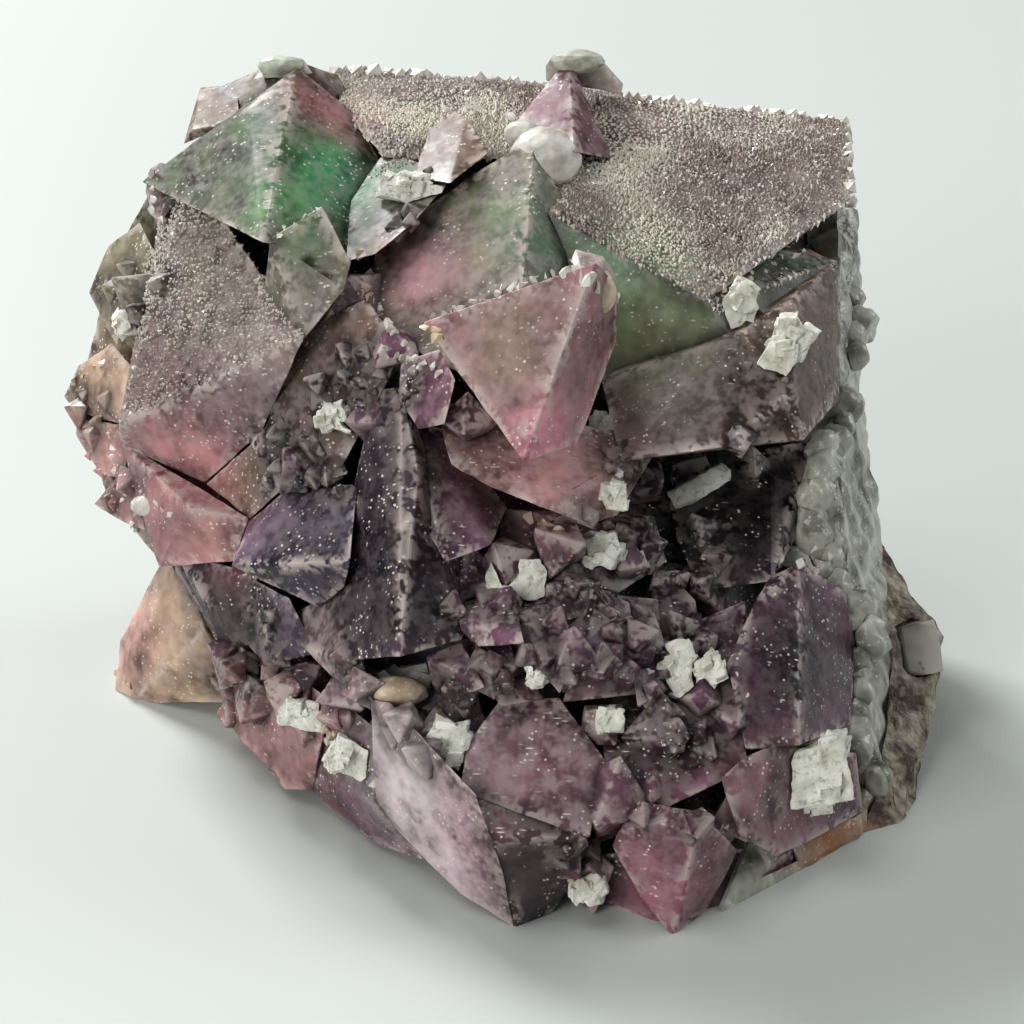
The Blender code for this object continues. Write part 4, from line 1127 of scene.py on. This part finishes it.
def druse_material():
    """Tiny crystals, clear grey with a little pink, with pale flecks painted on as sparkle highlights."""
    s = Shader("druse")
    base = s.blend(s.span(s.noise(70, 1), 0.38, 0.62), linear(150, 136, 128), linear(210, 205, 190))
    # painted highlight: pale flecks standing in for the sparkle of the tiny crystals
    painted_sparkle = s.span(s.noise(1100, 1, 0.7), 0.52, 0.68)
    s.into(s.blend(s.times(painted_sparkle, 0.7), base, linear(240, 236, 226)), "Base Color")
    s.surface.inputs["Roughness"].default_value = 0.12
    s.surface.inputs["IOR"].default_value = 1.5
    return s.material


def calcite_material():
    """Chalky white grains with grey hollows."""
    s = Shader("calcite")
    base = s.blend(s.span(s.noise(450, 1), 0.3, 0.7), linear(202, 200, 184), linear(240, 240, 230))
    hollows = s.span(s.noise(1300, 2, 0.7), 0.54, 0.68)
    s.into(s.blend(s.times(hollows, 0.6), base, linear(136, 130, 118)), "Base Color")
    s.surface.inputs["Roughness"].default_value = 0.5
    s.into(s.bump(s.noise(2000, 1, 0.7), 0.7, 0.00012), "Normal")
    return s.material


def layer_material(dust):
    """Pale grey layer with wavy paler lines along it."""
    s = Shader("pale_layer")
    wave = s.node("ShaderNodeTexWave", wave_type="BANDS", bands_direction="DIAGONAL")
    wave.inputs["Scale"].default_value = 85.0
    wave.inputs["Distortion"].default_value = 12.0
    wave.inputs["Detail"].default_value = 2.0
    wave.inputs["Detail Scale"].default_value = 1.2
    s.link(s.position((1, 1, 0.3)), wave.inputs["Vector"])
    lines = s.span(wave.outputs["Fac"], 0.72, 0.97)
    base = s.blend(s.span(s.noise(150, 3, 0.7), 0.38, 0.64), linear(92, 90, 80), linear(186, 186, 174))
    lined = s.blend(s.times(lines, 0.6), base, linear(206, 206, 194))
    stained = s.blend(s.attribute("stain"), lined, linear(150, 100, 62))
    s.into(s.blend(s.dust(dust, 0.04, 0.7), stained, linear(232, 230, 222)), "Base Color")
    s.surface.inputs["Roughness"].default_value = 0.3
    s.into(s.bump(s.noise(600, 2, 0.7), 0.7, 0.0004), "Normal")
    return s.material


def rock_material():
    """Brown and grey broken rock with a rusty stain at its lower front."""
    s = Shader("rock")
    base = s.blend(s.span(s.noise(170, 3, 0.8), 0.40, 0.60), linear(66, 54, 46), linear(178, 166, 148))
    pale = s.times(s.span(s.cells(330), 0.3, 0.12), s.span(s.noise(120, 1), 0.45, 0.6))
    spotted = s.blend(s.times(pale, 0.85), base, linear(200, 194, 178))
    rust = s.maths("MAXIMUM", s.attribute("stain"), s.span(s.noise(75, 2, 0.6), 0.63, 0.72, 0.0, 0.6))
    s.into(s.blend(rust, spotted, linear(152, 100, 66)), "Base Color")
    s.surface.inputs["Roughness"].default_value = 0.75
    s.into(s.bump(s.noise(800, 2, 0.8), 1.0, 0.0007), "Normal")
    return s.material


def pebble_material():
    """Cloudy grey quartz."""
    s = Shader("quartz")
    base = s.blend(s.span(s.noise(160, 2), 0.35, 0.65), linear(140, 132, 122), linear(198, 192, 182))
    s.into(base, "Base Color")
    s.surface.inputs["Roughness"].default_value = 0.2
    return s.material


# Lights: name, place, size in metres, power and colour
LIGHTS = (
    ("window", (-0.72, 0.98, 1.10), 0.42, 29.5, (1.0, 1.0, 0.99)),
    ("ceiling", (-0.45, -0.15, 1.20), 0.7, 5.0, (1.0, 0.99, 0.97)),
    ("room", (-0.90, -0.90, 0.50), 0.6, 9.5, (1.0, 0.98, 0.96)),
    ("side", (0.95, 0.20, 0.60), 0.6, 5.0, (1.0, 1.0, 1.0)),
)
WORLD_COLOUR = linear(210, 228, 232)
WORLD_STRENGTH = 0.15
FLOOR_COLOUR = linear(187, 192, 188)
VIEW_TRANSFORM = "Standard"


def studio(shift):
    """A pale floor, soft light from the upper left and the photograph's viewpoint."""
    floor_mesh = bpy.data.meshes.new("floor")
    shape = bmesh.new()
    bmesh.ops.create_grid(shape, x_segments=1, y_segments=1, size=3.0)
    shape.to_mesh(floor_mesh)
    shape.free()
    floor = bpy.data.objects.new("floor", floor_mesh)
    bpy.context.scene.collection.objects.link(floor)
    s = Shader("floor")
    s.surface.inputs["Base Color"].default_value = (*FLOOR_COLOUR, 1.0)
    s.surface.inputs["Roughness"].default_value = 0.6
    floor_mesh.materials.append(s.material)

    world = bpy.data.worlds.new("studio")
    bpy.context.scene.world = world
    world.use_nodes = True
    back = world.node_tree.nodes["Background"]
    back.inputs["Color"].default_value = (*WORLD_COLOUR, 1.0)
    back.inputs["Strength"].default_value = WORLD_STRENGTH

    for name, spot, size, power, colour in LIGHTS:
        data = bpy.data.lights.new(name, "AREA")
        data.size = size
        data.energy = power
        data.color = colour
        lamp = bpy.data.objects.new(name, data)
        bpy.context.scene.collection.objects.link(lamp)
        lamp.location = spot
        lamp.rotation_euler = (Vector((0, 0, 0.035)) - Vector(spot)).to_track_quat("-Z", "Y").to_euler()

    lens = bpy.data.cameras.new("camera")
    lens.sensor_width = 36.0
    lens.lens = 36.0 * VIEW_DISTANCE / (1024.0 * UNIT)
    lens.clip_start = 0.01
    camera = bpy.data.objects.new("camera", lens)
    bpy.context.scene.collection.objects.link(camera)
    pose = Matrix((RIGHT, UPWARD, NEARER)).transposed().to_4x4()
    pose.translation = EYE + shift
    camera.matrix_world = pose
    bpy.context.scene.camera = camera
    bpy.context.scene.view_settings.view_transform = VIEW_TRANSFORM
    return floor


def dress(thing, material, slot, *nodes):
    """Gives a piece its material and body and hides the solids that it stands for; slot is not used."""
    thing.data.materials.clear()
    thing.data.materials.append(material)
    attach(thing, "root")
    if nodes:
        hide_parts(*nodes)


def build():
    solids, pale, shift = fluorite_solids()
    cluster, tree = fluorite(solids)
    bits = cloudy(pale)
    crust = druse(tree, solids, {"right_crown": 0.3, "top_slope": 0.3, "left_shoulder": 0.35}, 0.0006, 0.0004,
                  0.0009, 4)
    layer = weathered("pale_layer_look", [node_mesh("pale_layer", shift), *rim_lobes()], 0.0013,
                      ((0.004, 0.0003, False), (0.0012, 0.00012, False)), tree, 0.001, (0.0030, 0.0008))
    rock = weathered("host_rock_look", [node_mesh("host_rock", shift)], 0.0013,
                     ((0.011, 0.0006, True), (0.004, 0.0005, False), (0.0018, 0.0003, True), (0.0008, 0.00015, False)),
                     tree, 0.001)
    smooth_by_angle(layer.data, 50)
    smooth_by_angle(rock.data, 35)
    names = sorted(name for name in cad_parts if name.startswith("calcite_grain"))
    grains = [grain(name, shift, tree, 16, number) for number, name in enumerate(names)]
    pebble = weathered("quartz_pebble_look", [node_mesh("quartz_pebble", shift)], 0.0005,
                       ((0.002, 0.00008, False),), tree, 0.001)
    smooth_by_angle(pebble.data, 60)

    for thing in (cluster, bits, crust, layer, rock, pebble, *grains):
        thing.data.transform(Matrix.Translation(shift))
    dust = dust_group()
    dress(cluster, fluorite_material(dust), "fluorite", "fluorite_cluster")
    dress(bits, cloudy_material(dust), "fluorite")
    dress(crust, druse_material(), "fluorite")
    dress(layer, layer_material(dust), "pale_layer", "pale_layer")
    dress(rock, rock_material(), "rock", "host_rock")
    dress(pebble, pebble_material(), "quartz", "quartz_pebble")
    calcite = calcite_material()
    for name, thing in zip(names, grains):
        dress(thing, calcite, "calcite", name)
    studio(shift)


build()
